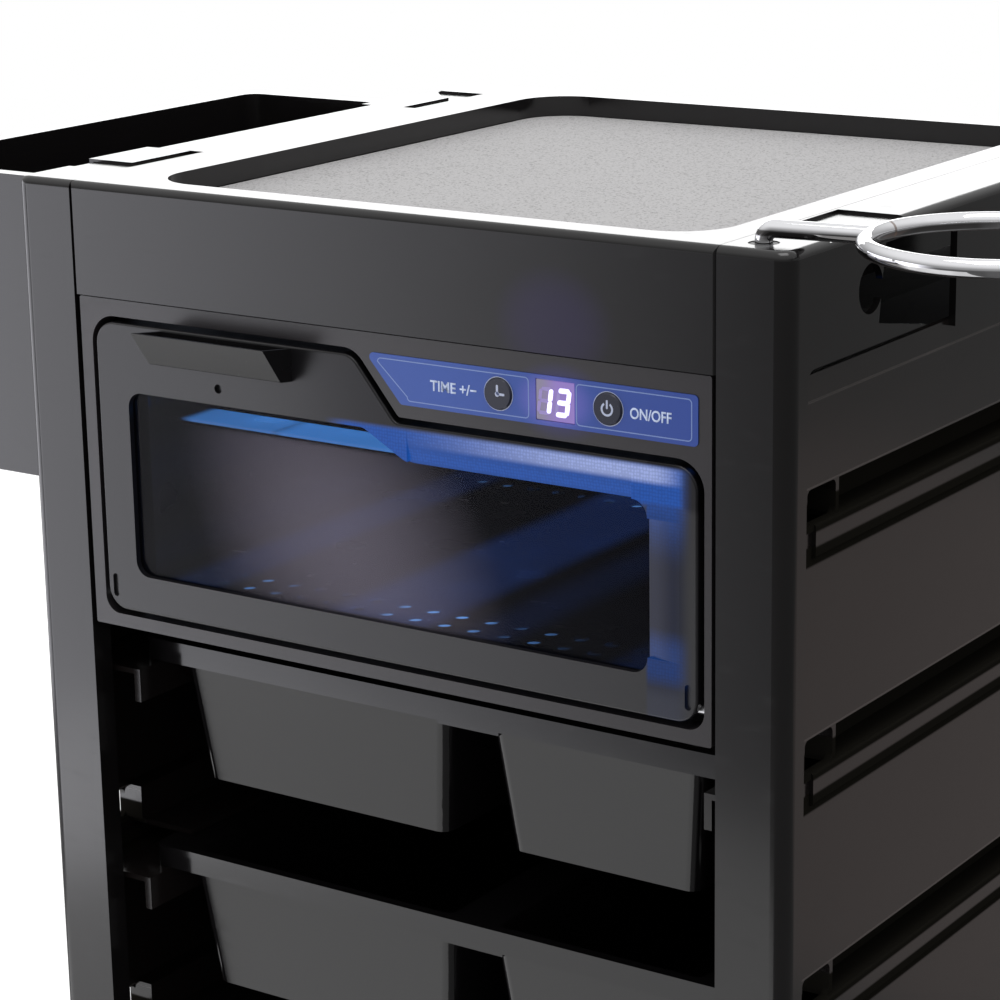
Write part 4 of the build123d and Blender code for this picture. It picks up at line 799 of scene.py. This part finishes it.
@dataclass(frozen=True)
class LitDoor:
    """Satin door plastic whose eased band beside the window is washed by the lamp's light, with painted
    shade on the band and the window's rim.

    Attributes:
        name: Name of the material.
        colour: Colour of the plastic.
        blue: Colour of the wash.
        hot: Colour of its brightest strip.
        face: Depths between which the wash sets in on the front face, in mm from the front plane.
        crest: Heights between which the band sets in at its top, in mm from the rim.
        foot: Heights between which the band's upper arm ends.
        arm: Where the upper arm sets in at its left, in mm from the trolley's middle.
        arm_end: Where it fades at its right.
        strip: Heights between which the hot strip sets in.
        strip_start: Where it grows, left to right.
        strip_end: Where it fades at its right.
        rim: Where the painted shade on the window's rim sets in, left to right.
        side: Where the band's right arm sets in.
        side_end: Where it fades at its right.
        lamp: Heights over which the right arm brightens towards the lamp.
        lamp_light: Share of the wash at both of them.
        shelf: Heights between which the light from the shelf sets in.
        shelf_end: Heights between which it fades below.
        shelf_light: Its share of the wash.
        low_end: Heights between which the painted shade on the right arm sets in.
        painted_dark: Share of painted shade on the rim, the upper arm and the right arm, from 0 to 1.
    """

    name: str
    colour: Colour
    blue: Colour
    hot: Colour
    face: Ends = (3.4, 2.9)
    crest: Ends = (-87.0, -89.6)
    foot: Ends = (-106.0, -102.0)
    arm: Ends = (-27.0, -12.0)
    arm_end: Ends = (149.0, 144.0)
    strip: Ends = (-96.2, -93.2)
    strip_start: Ends = (6.0, 112.0)
    strip_end: Ends = (150.0, 132.0)
    rim: Ends = (-70.0, 10.0)
    side: Ends = (129.0, 131.0)
    side_end: Ends = (151.0, 142.0)
    lamp: Ends = (-130.0, -92.0)
    lamp_light: Ends = (0.05, 0.85)
    shelf: Ends = (-150.0, -163.0)
    shelf_end: Ends = (-180.0, -170.0)
    shelf_light: float = 0.38
    low_end: Ends = (-184.0, -170.0)
    painted_dark: tuple[float, float, float] = (0.5, 0.85, 0.72)

    def material(self) -> bpy.types.Material:
        """Make the material."""
        g = Graph(self.name)
        crest, foot = g.ramp(Axis.UP, self.crest), g.ramp(Axis.UP, self.foot)
        upper = crest * foot * g.ramp(Axis.ACROSS, self.arm) * g.ramp(Axis.ACROSS, self.arm_end)
        side = g.ramp(Axis.ACROSS, self.side) * g.ramp(Axis.ACROSS, self.side_end)
        flow = g.noise(12.0, 2.0)
        return g.close(
            Base_Color=g.blend(flow * 0.6, self.colour, lighter(self.colour)),
            # Metallic over the near-black base darkens the rim and both arms of the band: painted shade
            Metallic=self._painted_shade_share(g, g.ramp(Axis.ACROSS, self.rim) * foot, upper, side),
            Roughness=0.28 + 0.1 * flow,
            Normal=g.bump(g.noise(2600.0, 2.0), 0.02),
            Emission_Color=self._light(g, upper, side * crest),
            Emission_Strength=1.0,
        )

    def _painted_shade_share(self, g: Graph, rim: Term, upper: Term, side: Term) -> Term:
        """Share of painted shade on the band and the rim, which makes them mirror less of the room.

        Args:
            g: Graph of the material.
            rim: Mask of the window's rim.
            upper: Mask of the upper arm.
            side: Mask of the right arm.

        Returns:
            The share of painted shade, from 0 to 1.
        """
        on_rim, on_upper, on_side = self.painted_dark
        low_end = side * g.ramp(Axis.UP, self.low_end)
        return (rim * on_rim).most(upper * on_upper).most(low_end * on_side)

    def _light(self, g: Graph, upper: Term, side: Term) -> Term:
        """Colour of the lamp's light on both arms of the band.

        Args:
            g: Graph of the material.
            upper: Mask of the upper arm.
            side: Mask of the right arm.

        Returns:
            The colour over the door.
        """
        near_lamp = g.ramp(Axis.UP, self.lamp, *self.lamp_light)
        near_shelf = g.ramp(Axis.UP, self.shelf) * g.ramp(Axis.UP, self.shelf_end) * self.shelf_light
        wash = upper.most(side * near_lamp.most(near_shelf))
        strip = g.ramp(Axis.UP, self.strip) * upper
        strip = strip * g.ramp(Axis.ACROSS, self.strip_start) * g.ramp(Axis.ACROSS, self.strip_end)
        light = g.blend(strip, g.blend(wash, grey(0.0), self.blue), self.hot)
        weave = 1.0 - 0.22 * g.cells(720.0, randomness=0.25).span(0.25, 0.6)
        return g.blend(g.ramp(Axis.DEEP, self.face) * weave, grey(0.0), light)


class Painter:
    """Gives CAD nodes their finishes."""

    def __init__(self, frame: dict[str, Any]) -> None:
        """Keep the frame's nodes.
        """
        self.nodes = frame["nodes"]

    def coat(self, finish: Any, *names: str) -> bpy.types.Material:
        """Put one finish on several nodes.

        Args:
            finish: Finish with a material method.
            *names: Names of the nodes.

        Returns:
            The material.
        """
        made = finish.material()
        for name in names:
            node = self.nodes[name]
            node.data.materials.clear()
            node.data.materials.append(made)
            for polygon in node.data.polygons:
                polygon.material_index = 0
            LOG.info("%s: %s", name, made.name)
        return made


class Mesh:
    """A new piece, built in a bmesh in millimetres of the cart and closed as an object in metres."""

    def __init__(self) -> None:
        """Start an empty mesh."""
        self.bm = bmesh.new()

    def plate(self, width: float, height: float, corner: float = 0.0) -> list[Any]:
        """Flat rectangle in X and Z about the origin, its corners rounded.

        Args:
            width: Size along X.
            height: Size along Z.
            corner: Corner radius.

        Returns:
            The plate's faces.
        """
        made = bmesh.ops.create_grid(self.bm, x_segments=1, y_segments=1, size=0.5)
        verts = made["verts"]
        bmesh.ops.scale(self.bm, vec=(width, height, 1.0), verts=verts)
        bmesh.ops.rotate(self.bm, matrix=Matrix.Rotation(math.radians(90), 3, "X"), verts=verts)
        faces = list({face for vert in verts for face in vert.link_faces})
        if corner > 0:
            done = bmesh.ops.bevel(
                self.bm, geom=verts, offset=corner, segments=5, profile=0.5, affect="VERTICES", material=-1
            )
            faces = list({face for vert in done["verts"] for face in vert.link_faces})
        return faces

    def outline(self, faces: list[Any], width: float) -> None:
        """Keep only a band along the edge of a flat face."""
        inner = bmesh.ops.inset_region(
            self.bm, faces=faces, thickness=width, use_even_offset=True, use_boundary=True
        )
        band = set(inner["faces"])
        middle = [face for face in faces if face.is_valid and face not in band]
        bmesh.ops.delete(self.bm, geom=middle, context="FACES")

    def thicken(self, depth: float) -> None:
        """Give all flat faces a thickness towards the front."""
        faces = list(self.bm.faces)
        raised = bmesh.ops.extrude_face_region(self.bm, geom=faces, use_keep_orig=True)
        verts = [item for item in raised["geom"] if isinstance(item, bmesh.types.BMVert)]
        bmesh.ops.translate(self.bm, vec=(0.0, -depth, 0.0), verts=verts)
        bmesh.ops.recalc_face_normals(self.bm, faces=list(self.bm.faces))

    def shift(self, x: float, y: float, z: float) -> None:
        """Move everything made so far."""
        bmesh.ops.translate(self.bm, vec=(x, y, z), verts=list(self.bm.verts))

    def turn(self, degrees: float, axis: str = "Y") -> None:
        """Turn everything made so far about an axis through the origin."""
        matrix = Matrix.Rotation(math.radians(degrees), 3, axis)
        bmesh.ops.rotate(self.bm, matrix=matrix, verts=list(self.bm.verts))

    def fit(self, width: float, height: float) -> None:
        """Stretch everything made so far to a width and a height about the origin."""
        across = [vert.co.x for vert in self.bm.verts]
        up = [vert.co.z for vert in self.bm.verts]
        middle = Vector(((min(across) + max(across)) / 2, 0.0, (min(up) + max(up)) / 2))
        bmesh.ops.translate(self.bm, vec=-middle, verts=list(self.bm.verts))
        size = (width / (max(across) - min(across)), 1.0, height / (max(up) - min(up)))
        bmesh.ops.scale(self.bm, vec=size, verts=list(self.bm.verts))

    def lean(self, share: float) -> None:
        """Slant everything made so far to the right by a share of its height."""
        slant = Matrix.Identity(3)
        slant[0][2] = share
        bmesh.ops.transform(self.bm, matrix=slant.to_4x4(), verts=list(self.bm.verts))

    def take(self, other: "Mesh") -> None:
        """Add another mesh's geometry to this one."""
        scratch = bpy.data.meshes.new("scratch")
        other.bm.to_mesh(scratch)
        self.bm.from_mesh(scratch)
        bpy.data.meshes.remove(scratch)
        other.bm.free()

    def close(self, name: str, body: str, slot: str, material: bpy.types.Material) -> bpy.types.Object:
        """Finish the mesh as a piece that rides on a body.

        Args:
            name: Name of the piece.
            body: Body that it rides on.
            slot: Material slot of the record; not used.
            material: Material of the piece.

        Returns:
            The piece.
        """
        origin = at(0, 0, 0)
        bmesh.ops.transform(
            self.bm, matrix=Matrix.Translation(origin) @ Matrix.Scale(0.001, 4), verts=list(self.bm.verts)
        )
        data = bpy.data.meshes.new(name)
        self.bm.to_mesh(data)
        self.bm.free()
        data.materials.append(material)
        piece = bpy.data.objects.new(name, data)
        bpy.context.scene.collection.objects.link(piece)
        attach(piece, body)
        LOG.info("%s: %d faces on %s", name, len(data.polygons), body)
        return piece


@dataclass(frozen=True)
class Outline:
    """Thin rounded outline on the label.

    Attributes:
        name: Name of the piece.
        width: Its size across, in mm.
        x: Its middle.
        slant: How far its lower left corner is drawn in.
    """

    name: str
    width: float
    x: float
    slant: float = 0.0


@dataclass(frozen=True)
class Legend:
    """Generic words beside a button.

    Attributes:
        name: Name of the piece.
        words: What it says.
        width: Its length, in mm.
        x: Its middle.
    """

    name: str
    words: str
    width: float
    x: float


@dataclass(frozen=True)
class DigitLayer:
    """One layer of the display's two digits.

    Attributes:
        name: Name of the piece.
        tens: Letters a to g of the left digit's segments.
        ones: Letters of the right digit's segments.
        stroke: Width of a segment, in mm.
        raised: How far it stands before the lowest layer.
        finish: Its finish.
    """

    name: str
    tens: str
    ones: str
    stroke: float
    raised: float
    finish: LitPrint


@dataclass
class ControlPrint:
    """White print of the label, marks of the buttons, painted highlight rings round them and digits of the
    display.

    Attributes:
        label_y: Front face of the label, in mm.
        button_y: Front face of the buttons.
        lift: Thickness of the print.
        row_z: Height of the buttons' centres.
        time_x: Middle of the time button.
        power_x: Middle of the power button.
        display_x: Middle of the display.
        line: Width of the thin outlines.
        box_height: Height of the thin outlines.
        box_corner: Their corner radius.
        box_drop: How far their middle is under the buttons' centres.
        letter: Height of the legends.
        letter_drop: How far their middle is under the buttons' centres.
        letter_weight: How much the letters are thickened.
        highlight_ring_radius: Radius of the painted highlight ring round a button.
        highlight_ring_width: Width of that ring.
        digit_wide: Distance of a digit's upright segments.
        digit_half: Half the distance of its top and bottom segments.
        digit_x: Middle of each digit, from the display's middle.
        digit_gap: Gap between two segments, plus the stroke.
        digit_lean: Slant of the digits to the right, as a share of their height.
        digit_shift: Place of the digits' middle, from the display's middle and the buttons' centres.
        digit_inset: Depth of the lowest layer behind the label's front face.
        white: Material of the legends.
        pale: Material of the printed marks and of the painted highlight rings.
        thin: Material of the outlines.
    """

    label_y: float = 0.40
    button_y: float = -0.60
    lift: float = 0.06
    row_z: float = -68.0
    time_x: float = 61.5
    power_x: float = 112.8
    display_x: float = 88.2
    line: float = 0.42
    box_height: float = 16.8
    box_corner: float = 1.8
    box_drop: float = 0.1
    letter: float = 4.5
    letter_drop: float = 0.4
    letter_weight: float = 0.10
    highlight_ring_radius: float = 6.80
    highlight_ring_width: float = 0.30
    digit_wide: float = 4.9
    digit_half: float = 4.85
    digit_x: float = 4.2
    digit_gap: float = 1.9
    digit_lean: float = 0.14
    digit_shift: tuple[float, float] = (-0.6, -0.3)
    digit_inset: float = 0.2
    white: bpy.types.Material = field(init=False)
    pale: bpy.types.Material = field(init=False)
    thin: bpy.types.Material = field(init=False)

    def build(self) -> None:
        """Make every printed and lit mark, and the painted highlight rings."""
        # The label print, the button marks and the outlines get a faint painted glow of their own
        self.white = LitPrint("label_print_white", (0.62, 0.72, 0.95), 0.10).material()
        self.pale = LitPrint("button_print_and_rim_highlight", (0.50, 0.55, 0.72), 0.08).material()
        self.thin = LitPrint("outline_print_blue", (0.22, 0.32, 0.62), 0.05).material()
        self._outline(Outline("label_box_left", 74.0, 39.0, 14.5))
        self._outline(Outline("label_box_right", 52.4, 124.2))
        self._legend(Legend("legend_time", "TIME +/−", 22.6, 39.6))
        self._legend(Legend("legend_on_off", "ON/OFF", 18.6, 132.0))
        self._clock()
        self._power()
        self._rim_highlights()
        self._digits()

    def _outline(self, outline: Outline) -> None:
        """Draw a thin rounded outline beside the display."""
        mesh = Mesh()
        faces = mesh.plate(outline.width, self.box_height, self.box_corner)
        corner = [vert for vert in mesh.bm.verts if vert.co.x < 0 and vert.co.z < 0]
        bmesh.ops.translate(mesh.bm, vec=(outline.slant, 0.0, 0.0), verts=corner)
        mesh.outline(faces, self.line)
        mesh.thicken(self.lift)
        mesh.shift(outline.x, self.label_y, self.row_z - self.box_drop)
        mesh.close(outline.name, "cart", "label_blue", self.thin)

    def _legend(self, legend: Legend) -> None:
        """Write a legend, stretched to its length and the legends' height."""
        curve = bpy.data.curves.new(legend.name, "FONT")
        curve.body = legend.words
        curve.size = 5.0
        curve.offset = self.letter_weight
        holder = bpy.data.objects.new(legend.name, curve)
        bpy.context.scene.collection.objects.link(holder)
        bpy.context.view_layer.update()
        data = bpy.data.meshes.new_from_object(holder)
        bpy.data.objects.remove(holder)
        text = Mesh()
        text.bm.from_mesh(data)
        bpy.data.meshes.remove(data)
        bmesh.ops.remove_doubles(text.bm, verts=list(text.bm.verts), dist=0.001)
        text.turn(90, "X")
        text.fit(legend.width, self.letter)
        text.thicken(self.lift)
        text.shift(legend.x, self.label_y, self.row_z - self.letter_drop)
        text.close(legend.name, "cart", "label_blue", self.white)

    @staticmethod
    def _bar(width: float, height: float, x: float, z: float, degrees: float = 0.0) -> Mesh:
        """Straight bar with rounded ends about a place in the mark."""
        bar = Mesh()
        bar.plate(width, height, min(width, height) * 0.45)
        bar.shift(x, 0.0, z)
        bar.turn(degrees)
        return bar

    @staticmethod
    def _arc(radius: float, width: float, start: float, sweep: float, steps: int) -> Mesh:
        """Flat arc about the origin, angles clockwise from the top."""
        arc = Mesh()
        low = arc.bm.verts.new((0.0, 0.0, radius - width / 2))
        high = arc.bm.verts.new((0.0, 0.0, radius + width / 2))
        edge = arc.bm.edges.new((low, high))
        turned = Matrix.Rotation(math.radians(start), 3, "Y")
        bmesh.ops.rotate(arc.bm, matrix=turned, verts=[low, high])
        bmesh.ops.spin(
            arc.bm,
            geom=[low, high, edge],
            cent=(0, 0, 0),
            axis=(0, 1, 0),
            angle=math.radians(sweep),
            steps=steps,
            use_merge=abs(sweep - 360) < 0.1,
        )
        return arc

    def _clock(self) -> None:
        """Clock hands on the time button."""
        mark = self._bar(1.0, 4.0, 0.0, 1.8)
        mark.take(self._bar(3.6, 1.0, 1.7, 0.0))
        hub = Mesh()
        bmesh.ops.create_circle(hub.bm, cap_ends=True, segments=20, radius=1.05)
        hub.turn(90, "X")
        mark.take(hub)
        mark.thicken(self.lift)
        mark.shift(self.time_x, self.button_y, self.row_z)
        mark.close("time_mark", "time_button", "button_dark", self.pale)

    def _power(self) -> None:
        """Broken ring and bar on the power button."""
        mark = self._arc(2.4, 0.85, 32.0, 296.0, 28)
        mark.take(self._bar(0.85, 3.6, 0.0, 1.9))
        mark.thicken(self.lift)
        mark.shift(self.power_x, self.button_y, self.row_z)
        mark.close("power_mark", "power_button", "button_dark", self.pale)

    def _rim_highlights(self) -> None:
        """Thin pale rings round the buttons, painted highlights of the caps' rims laid on the label."""
        for name, x in (("time_rim_highlight", self.time_x), ("power_rim_highlight", self.power_x)):
            ring = self._arc(self.highlight_ring_radius, self.highlight_ring_width, 0.0, 360.0, 48)
            ring.thicken(self.lift)
            ring.shift(x, self.label_y, self.row_z)
            ring.close(name, "cart", "label_blue", self.pale)

    def _segments(self, x: float, letters: str, stroke: float) -> Mesh:
        """Some segments of one digit.

        Args:
            x: Middle of the digit, in mm.
            letters: Letters a to g of the segments.
            stroke: Width of a segment, in mm.

        Returns:
            The segments.
        """
        wide, tall = self.digit_wide, self.digit_half
        places = {
            "a": (0.0, tall, 0), "g": (0.0, 0.0, 0), "d": (0.0, -tall, 0),
            "f": (-wide / 2, tall / 2, 90), "b": (wide / 2, tall / 2, 90),
            "e": (-wide / 2, -tall / 2, 90), "c": (wide / 2, -tall / 2, 90),
        }
        made = Mesh()
        for letter in letters:
            dx, dz, turned = places[letter]
            length = (wide if turned == 0 else tall) - self.digit_gap + stroke
            bar = self._bar(length, stroke, 0.0, 0.0, turned)
            bar.shift(x + dx, 0.0, dz)
            made.take(bar)
        return made

    def _digits(self) -> None:
        """Two seven-segment digits: unlit segments, a soft edge and the lit core."""
        unlit = LitPrint("segment_unlit", (0.24, 0.19, 0.42), 0.55, 0.2)
        edge = LitPrint("segment_edge", (0.55, 0.50, 0.88), 0.95, 0.1)
        lit = LitPrint("segment_lit", (0.95, 0.95, 1.0), 1.6, 0.05)
        layers = (
            DigitLayer("digits_unlit", "adefg", "ef", 1.5, 0.0, unlit),
            DigitLayer("digits_edge", "bc", "abcdg", 2.2, 0.08, edge),
            DigitLayer("digits_lit", "bc", "abcdg", 1.5, 0.16, lit),
        )
        right, up = self.digit_shift
        for layer in layers:
            mesh = self._segments(-self.digit_x, layer.tens, layer.stroke)
            mesh.take(self._segments(self.digit_x, layer.ones, layer.stroke))
            mesh.lean(self.digit_lean)
            mesh.thicken(self.lift)
            depth = self.label_y + self.digit_inset - layer.raised
            mesh.shift(self.display_x + right, depth, self.row_z + up)
            mesh.close(layer.name, "cart", "display_dark", layer.finish.material())


@dataclass(frozen=True)
class Softbox:
    """Soft rectangular lamp aimed at a point.

    Attributes:
        name: Name of the lamp.
        place: Where it stands.
        target: Where it points.
        width: Size across, in metres.
        height: Size upwards, in metres.
        power: Power in watts.
        dim: Share of the light at its dim end.
        colour: Colour of the light.
    """

    name: str
    place: Vector
    target: Vector
    width: float
    height: float
    power: float
    dim: float = 1.0
    colour: Colour = (1.0, 1.0, 1.0)

    def build(self) -> None:
        """Make the lamp."""
        data = bpy.data.lights.new(self.name, "AREA")
        data.shape = "RECTANGLE"
        data.size = self.width
        data.size_y = self.height
        data.energy = self.power
        data.color = self.colour
        g = Graph(self.name, data, "ShaderNodeOutputLight")
        across, _, _ = g.axes(g.node("ShaderNodeNewGeometry", {}, {}, "Parametric"))
        strength = across.span(0.0, 1.0, 1.0, self.dim)
        g.surface(g.node("ShaderNodeEmission", {}, {"Strength": strength}))
        lamp = bpy.data.objects.new(self.name, data)
        bpy.context.scene.collection.objects.link(lamp)
        lamp.location = self.place
        lamp.rotation_mode = "QUATERNION"
        lamp.rotation_quaternion = (self.target - self.place).to_track_quat("-Z", "Y")
        lamp.visible_camera = False


@dataclass
class Studio:
    """White studio: backdrop, floor, soft lamps and the camera.

    Attributes:
        lens: Focal length in mm.
        eye: Camera's place in the row frame.
        right: Camera's right.
        up: Camera's up.
        soft: Strength of the light from all round.
        horizon: Strength of the backdrop near the horizon, as gloss shows it.
        floor_tone: Lightness of the floor as the object's own surfaces see it.
    """

    lens: float = 106.8
    eye: Vector = field(default_factory=lambda: Vector((0.70926, -1.10390, 1.02938)))
    right: Vector = field(default_factory=lambda: Vector((0.82647, 0.56273, -0.01703)))
    up: Vector = field(default_factory=lambda: Vector((-0.13414, 0.22621, 0.96480)))
    soft: float = 0.5
    horizon: float = 0.30
    floor_tone: float = 0.20

    def build(self) -> None:
        """Set up the studio."""
        scene = bpy.context.scene
        scene.view_settings.view_transform = "Standard"
        self._camera(scene)
        self._world(scene)
        self._floor(scene)
        centre = Vector((0.0, 0.0, 0.55))
        cool = (0.93, 0.93, 1.0)
        warm = (1.0, 0.70, 0.62)
        lamps = (
            Softbox("front_left", Vector((-0.88, -1.24, 0.44)), centre, 1.15, 0.9, 10.5, 0.0, cool),
            Softbox("left", Vector((-1.9, -0.3, 0.5)), centre, 1.4, 1.0, 8.0, 1.0, cool),
            Softbox("bounce", Vector((-0.55, -0.80, 0.02)), Vector((-0.55, -0.75, 2.0)), 1.5, 1.2, 6.0),
            Softbox("back_left", Vector((-1.63, 2.5, 1.28)), centre, 2.4, 1.2, 21.0),
            Softbox("overhead", Vector((0.3, -0.3, 2.6)), centre, 1.2, 1.2, 16.0),
            Softbox("low_right", Vector((1.15, 1.75, 0.02)), Vector((1.15, 1.80, 2.0)), 1.3, 1.9, 1.0,
                    colour=warm),
        )
        for lamp in lamps:
            lamp.build()

    def _camera(self, scene: bpy.types.Scene) -> None:
        """Place the camera."""
        data = bpy.data.cameras.new("camera")
        data.lens = self.lens
        data.sensor_width = 36.0
        data.clip_end = 50.0
        camera = bpy.data.objects.new("camera", data)
        scene.collection.objects.link(camera)
        right = self.right.normalized()
        up = (self.up - right * self.up.dot(right)).normalized()
        back = right.cross(up)
        turn = Matrix((right, up, back)).transposed()
        camera.matrix_world = Matrix.Translation(self.eye) @ turn.to_4x4()
        scene.camera = camera

    def _world(self, scene: bpy.types.Scene) -> None:
        """White to the camera and through glass, dimmer towards the horizon in gloss, and soft as light."""
        scene.world = bpy.data.worlds.new("studio")
        g = Graph("studio", scene.world, "ShaderNodeOutputWorld")
        _, _, rise = g.axes(g.node("ShaderNodeTexCoord", {}, {}, "Generated"))
        white = g.ray(Ray.CAMERA).most(g.ray(Ray.TRANSMISSION))
        mirrored = g.ray(Ray.GLOSSY) * (1.0 - white)
        rest = 1.0 - white.most(mirrored)
        strength = white + mirrored * rise.span(-0.1, 0.75, self.horizon, 1.0) + rest * self.soft
        g.surface(g.node("ShaderNodeBackground", {}, {"Color": (1.0, 1.0, 1.0, 1.0), "Strength": strength}))

    def _floor(self, scene: bpy.types.Scene) -> None:
        """White floor that keeps the trolley's shadow and throws little light back on it."""
        data = bpy.data.meshes.new("studio_floor")
        bm = bmesh.new()
        bmesh.ops.create_circle(bm, cap_ends=True, segments=64, radius=6.0)
        bm.to_mesh(data)
        bm.free()
        floor = bpy.data.objects.new("studio_floor", data)
        scene.collection.objects.link(floor)
        g = Graph("studio_floor_white")
        seen = g.ray(Ray.CAMERA)
        tone = g.noise(2.0, 2.0)
        white = g.blend(tone * 0.3, grey(0.93), grey(0.90))
        base = g.blend(seen, grey(self.floor_tone), white)
        lift = g.blend(seen, grey(0.0), grey(0.30))
        g.close(Base_Color=base, Roughness=0.6 + tone * 0.1, Emission_Color=lift, Emission_Strength=1.0)
        data.materials.append(g.material)


@dataclass
class Body:
    """Moulded body with its top, mat, trays, bin and ring.

    Attributes:
        painter: Gives the nodes their finishes.
        tray_count: Number of trays under the cabinet.
        over_display: Glow of the display on the apron over it.
    """

    painter: Painter
    tray_count: int = 5
    over_display: Halo = Halo(88, -38, 30, 26, (0.006, 0.003, 0.025))

    def dress(self) -> None:
        """Finish the mouldings, the mat and the ring."""
        paint = self.painter.coat
        gloss = MouldedPlastic("gloss_black_moulding", GLOSS_BLACK, 0.13, 0.08, 0.0015, 1800.0, 0.10)
        panel = RailPanel("gloss_black_panel", (0.0080, 0.0062, 0.0060), 0.15, 0.08, 0.0015, 1800.0, 0.10)
        trays = MouldedPlastic("gloss_black_trays", (0.005, 0.0045, 0.005), 0.10, 0.08, 0.001, 1500.0, 0.15)
        paint(gloss, "left_side_frame", "right_side_frame", "base", "back_panel", "side_bin")
        paint(panel, "left_side_panel", "right_side_panel")
        paint(replace(gloss, name="gloss_black_top", halo=self.over_display), "top_tray")
        paint(trays, *(f"tray_{number}" for number in range(1, self.tray_count + 1)))
        paint(SpeckledRubber("mat_speckled", (0.52, 0.51, 0.515)), "rubber_mat")
        paint(ChromeWire("chrome_plate", (0.78, 0.78, 0.80), 0.035, 0.05), "hair_dryer_ring")


@dataclass
class Cabinet:
    """UV cabinet: bezel, door, controls and the lit chamber.

    Attributes:
        painter: Gives the nodes their finishes.
        display: Glow of the display on the label.
        round_display: Glow of the display on the bezel.
        low: Patches of light on the chamber's floor and on the shelf.
        high: Patches of light on the lamp's shield.
    """

    painter: Painter
    display: Halo = Halo(88, -68, 20, 14, (0.07, 0.035, 0.12))
    round_display: Halo = Halo(90, -68, 26, 17, (0.004, 0.004, 0.075))
    low: tuple[Patch, ...] = (
        Patch(-46, 18, 14), Patch(-132, -94, 12, 0.55), Patch(18, 60, 20, 0.3), Patch(96, 136, 16, 0.45),
    )
    high: tuple[Patch, ...] = (Patch(-122, -64, 8, 0.8), Patch(-76, 8, 14), Patch(0, 130, 20, 0.4))

    def dress(self) -> None:
        """Finish the front, the controls and what is inside."""
        self._front()
        self._controls()
        self._inside()

    def _front(self) -> None:
        """Finish the bezel and the door."""
        paint = self.painter.coat
        bezel = MouldedPlastic("satin_bezel", (0.020, 0.0175, 0.0195), 0.27, 0.08, 0.012, 2600.0, 0.05)
        handle = MouldedPlastic("gloss_handle", (0.008, 0.0075, 0.0085), 0.22, 0.08, 0.003, 2000.0, 0.05)
        door = LitDoor("door_satin_lit", (0.008, 0.0075, 0.009), (0.012, 0.078, 0.37), (0.315, 0.39, 0.72))
        paint(replace(bezel, halo=self.round_display), "module_bezel")
        paint(handle, "door_handle")
        paint(door, "door_frame")
        paint(MouldedPlastic("retainer_black", (0.010, 0.010, 0.011), 0.40, 0.08),
              "window_retainer", "ring_bush", "door_switch", "tact_switches", "power_inlet")
        paint(SmokedPane("smoked_window", (0.004, 0.004, 0.006), (0.196, 0.177, 0.223), 0.5), "door_window")

    def _controls(self) -> None:
        """Finish the label, the buttons and the display."""
        paint = self.painter.coat
        label = BlueLabel("label_blue_print", (0.018, 0.067, 0.375), (0.030, 0.098, 0.455), self.display)
        caps = MouldedPlastic("button_cap_dark", (0.010, 0.012, 0.028), 0.22, 0.08)
        paint(label, "control_label")
        paint(caps, "time_button", "power_button")
        paint(LitFront("display_front", (0.19, 0.17, 0.24), (0.22, 0.14, 0.44)), "digit_display")
        paint(MouldedPlastic("board_green", (0.015, 0.12, 0.04), 0.3, 0.1), "control_board")

    def _inside(self) -> None:
        """Finish the chamber, the lamp and the housing."""
        paint = self.painter.coat
        low, high = self.low, self.high
        liner = GlowingLiner("liner_lit_low", (0.09, 0.10, 0.12), (0.16, 0.42, 1.0), 2.6, -191.0, 12.0, low)
        shelf = GlowingLiner("shelf_lit", (0.07, 0.07, 0.09), (0.05, 0.16, 0.7), 0.35, -180.0, 8.0, low)
        shield = GlowingLiner("shield_lit", (0.20, 0.22, 0.25), (0.08, 0.34, 1.0), 2.3, -104.0, 12.0, high)
        housing = MouldedPlastic("housing_paint", (0.03, 0.03, 0.032), 0.42, 0.12, 0.02, 1800.0, 0.05)
        holders = MouldedPlastic("white_holder", (0.62, 0.62, 0.60), 0.4, 0.1)
        paint(liner, "uv_chamber")
        paint(shelf, "chamber_shelf")
        paint(shield, "lamp_shield", "lamp_reflector")
        paint(LitPrint("lamp_tube_lit", (0.25, 0.45, 1.0), 0.7, 0.1), "uv_lamp")
        paint(holders, "lamp_holder_left", "lamp_holder_right")
        paint(housing, "module_housing", "ballast", "catch_magnet")


@dataclass
class RunningGear:
    """Castors, and the steel parts of the whole trolley.

    Attributes:
        painter: Gives the nodes their finishes.
        corners: Endings of the castors' names.
    """

    painter: Painter
    corners: tuple[str, ...] = ("front_left", "front_right", "rear_left", "rear_right")

    def dress(self) -> None:
        """Finish the steel parts, the hoods and the wheels."""
        paint = self.painter.coat
        steel = Metal("drawn_steel", (0.58, 0.58, 0.60), 0.24, 0.12, Vector((1, 1, 8)), 0.004)
        nylon = MouldedPlastic("castor_nylon", (0.016, 0.016, 0.017), 0.30, 0.12)
        paint(steel, "castor_stems", "hinge_pins", "strike_plate", "back_screws", "frame_screws",
              *(f"castor_axle_{corner}" for corner in self.corners))
        paint(nylon, *(f"castor_hood_{corner}" for corner in self.corners),
              *(f"castor_wheels_{corner}" for corner in self.corners))


def main() -> None:
    """Build the studio, dress the trolley's sub-assemblies and add the print, in order."""
    logging.basicConfig(level=logging.INFO, format="%(name)s: %(message)s")
    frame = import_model()
    Studio().build()
    painter = Painter(frame)
    for part in (Body(painter), Cabinet(painter), RunningGear(painter)):
        part.dress()
    ControlPrint().build()


if __name__ == "__main__":
    main()
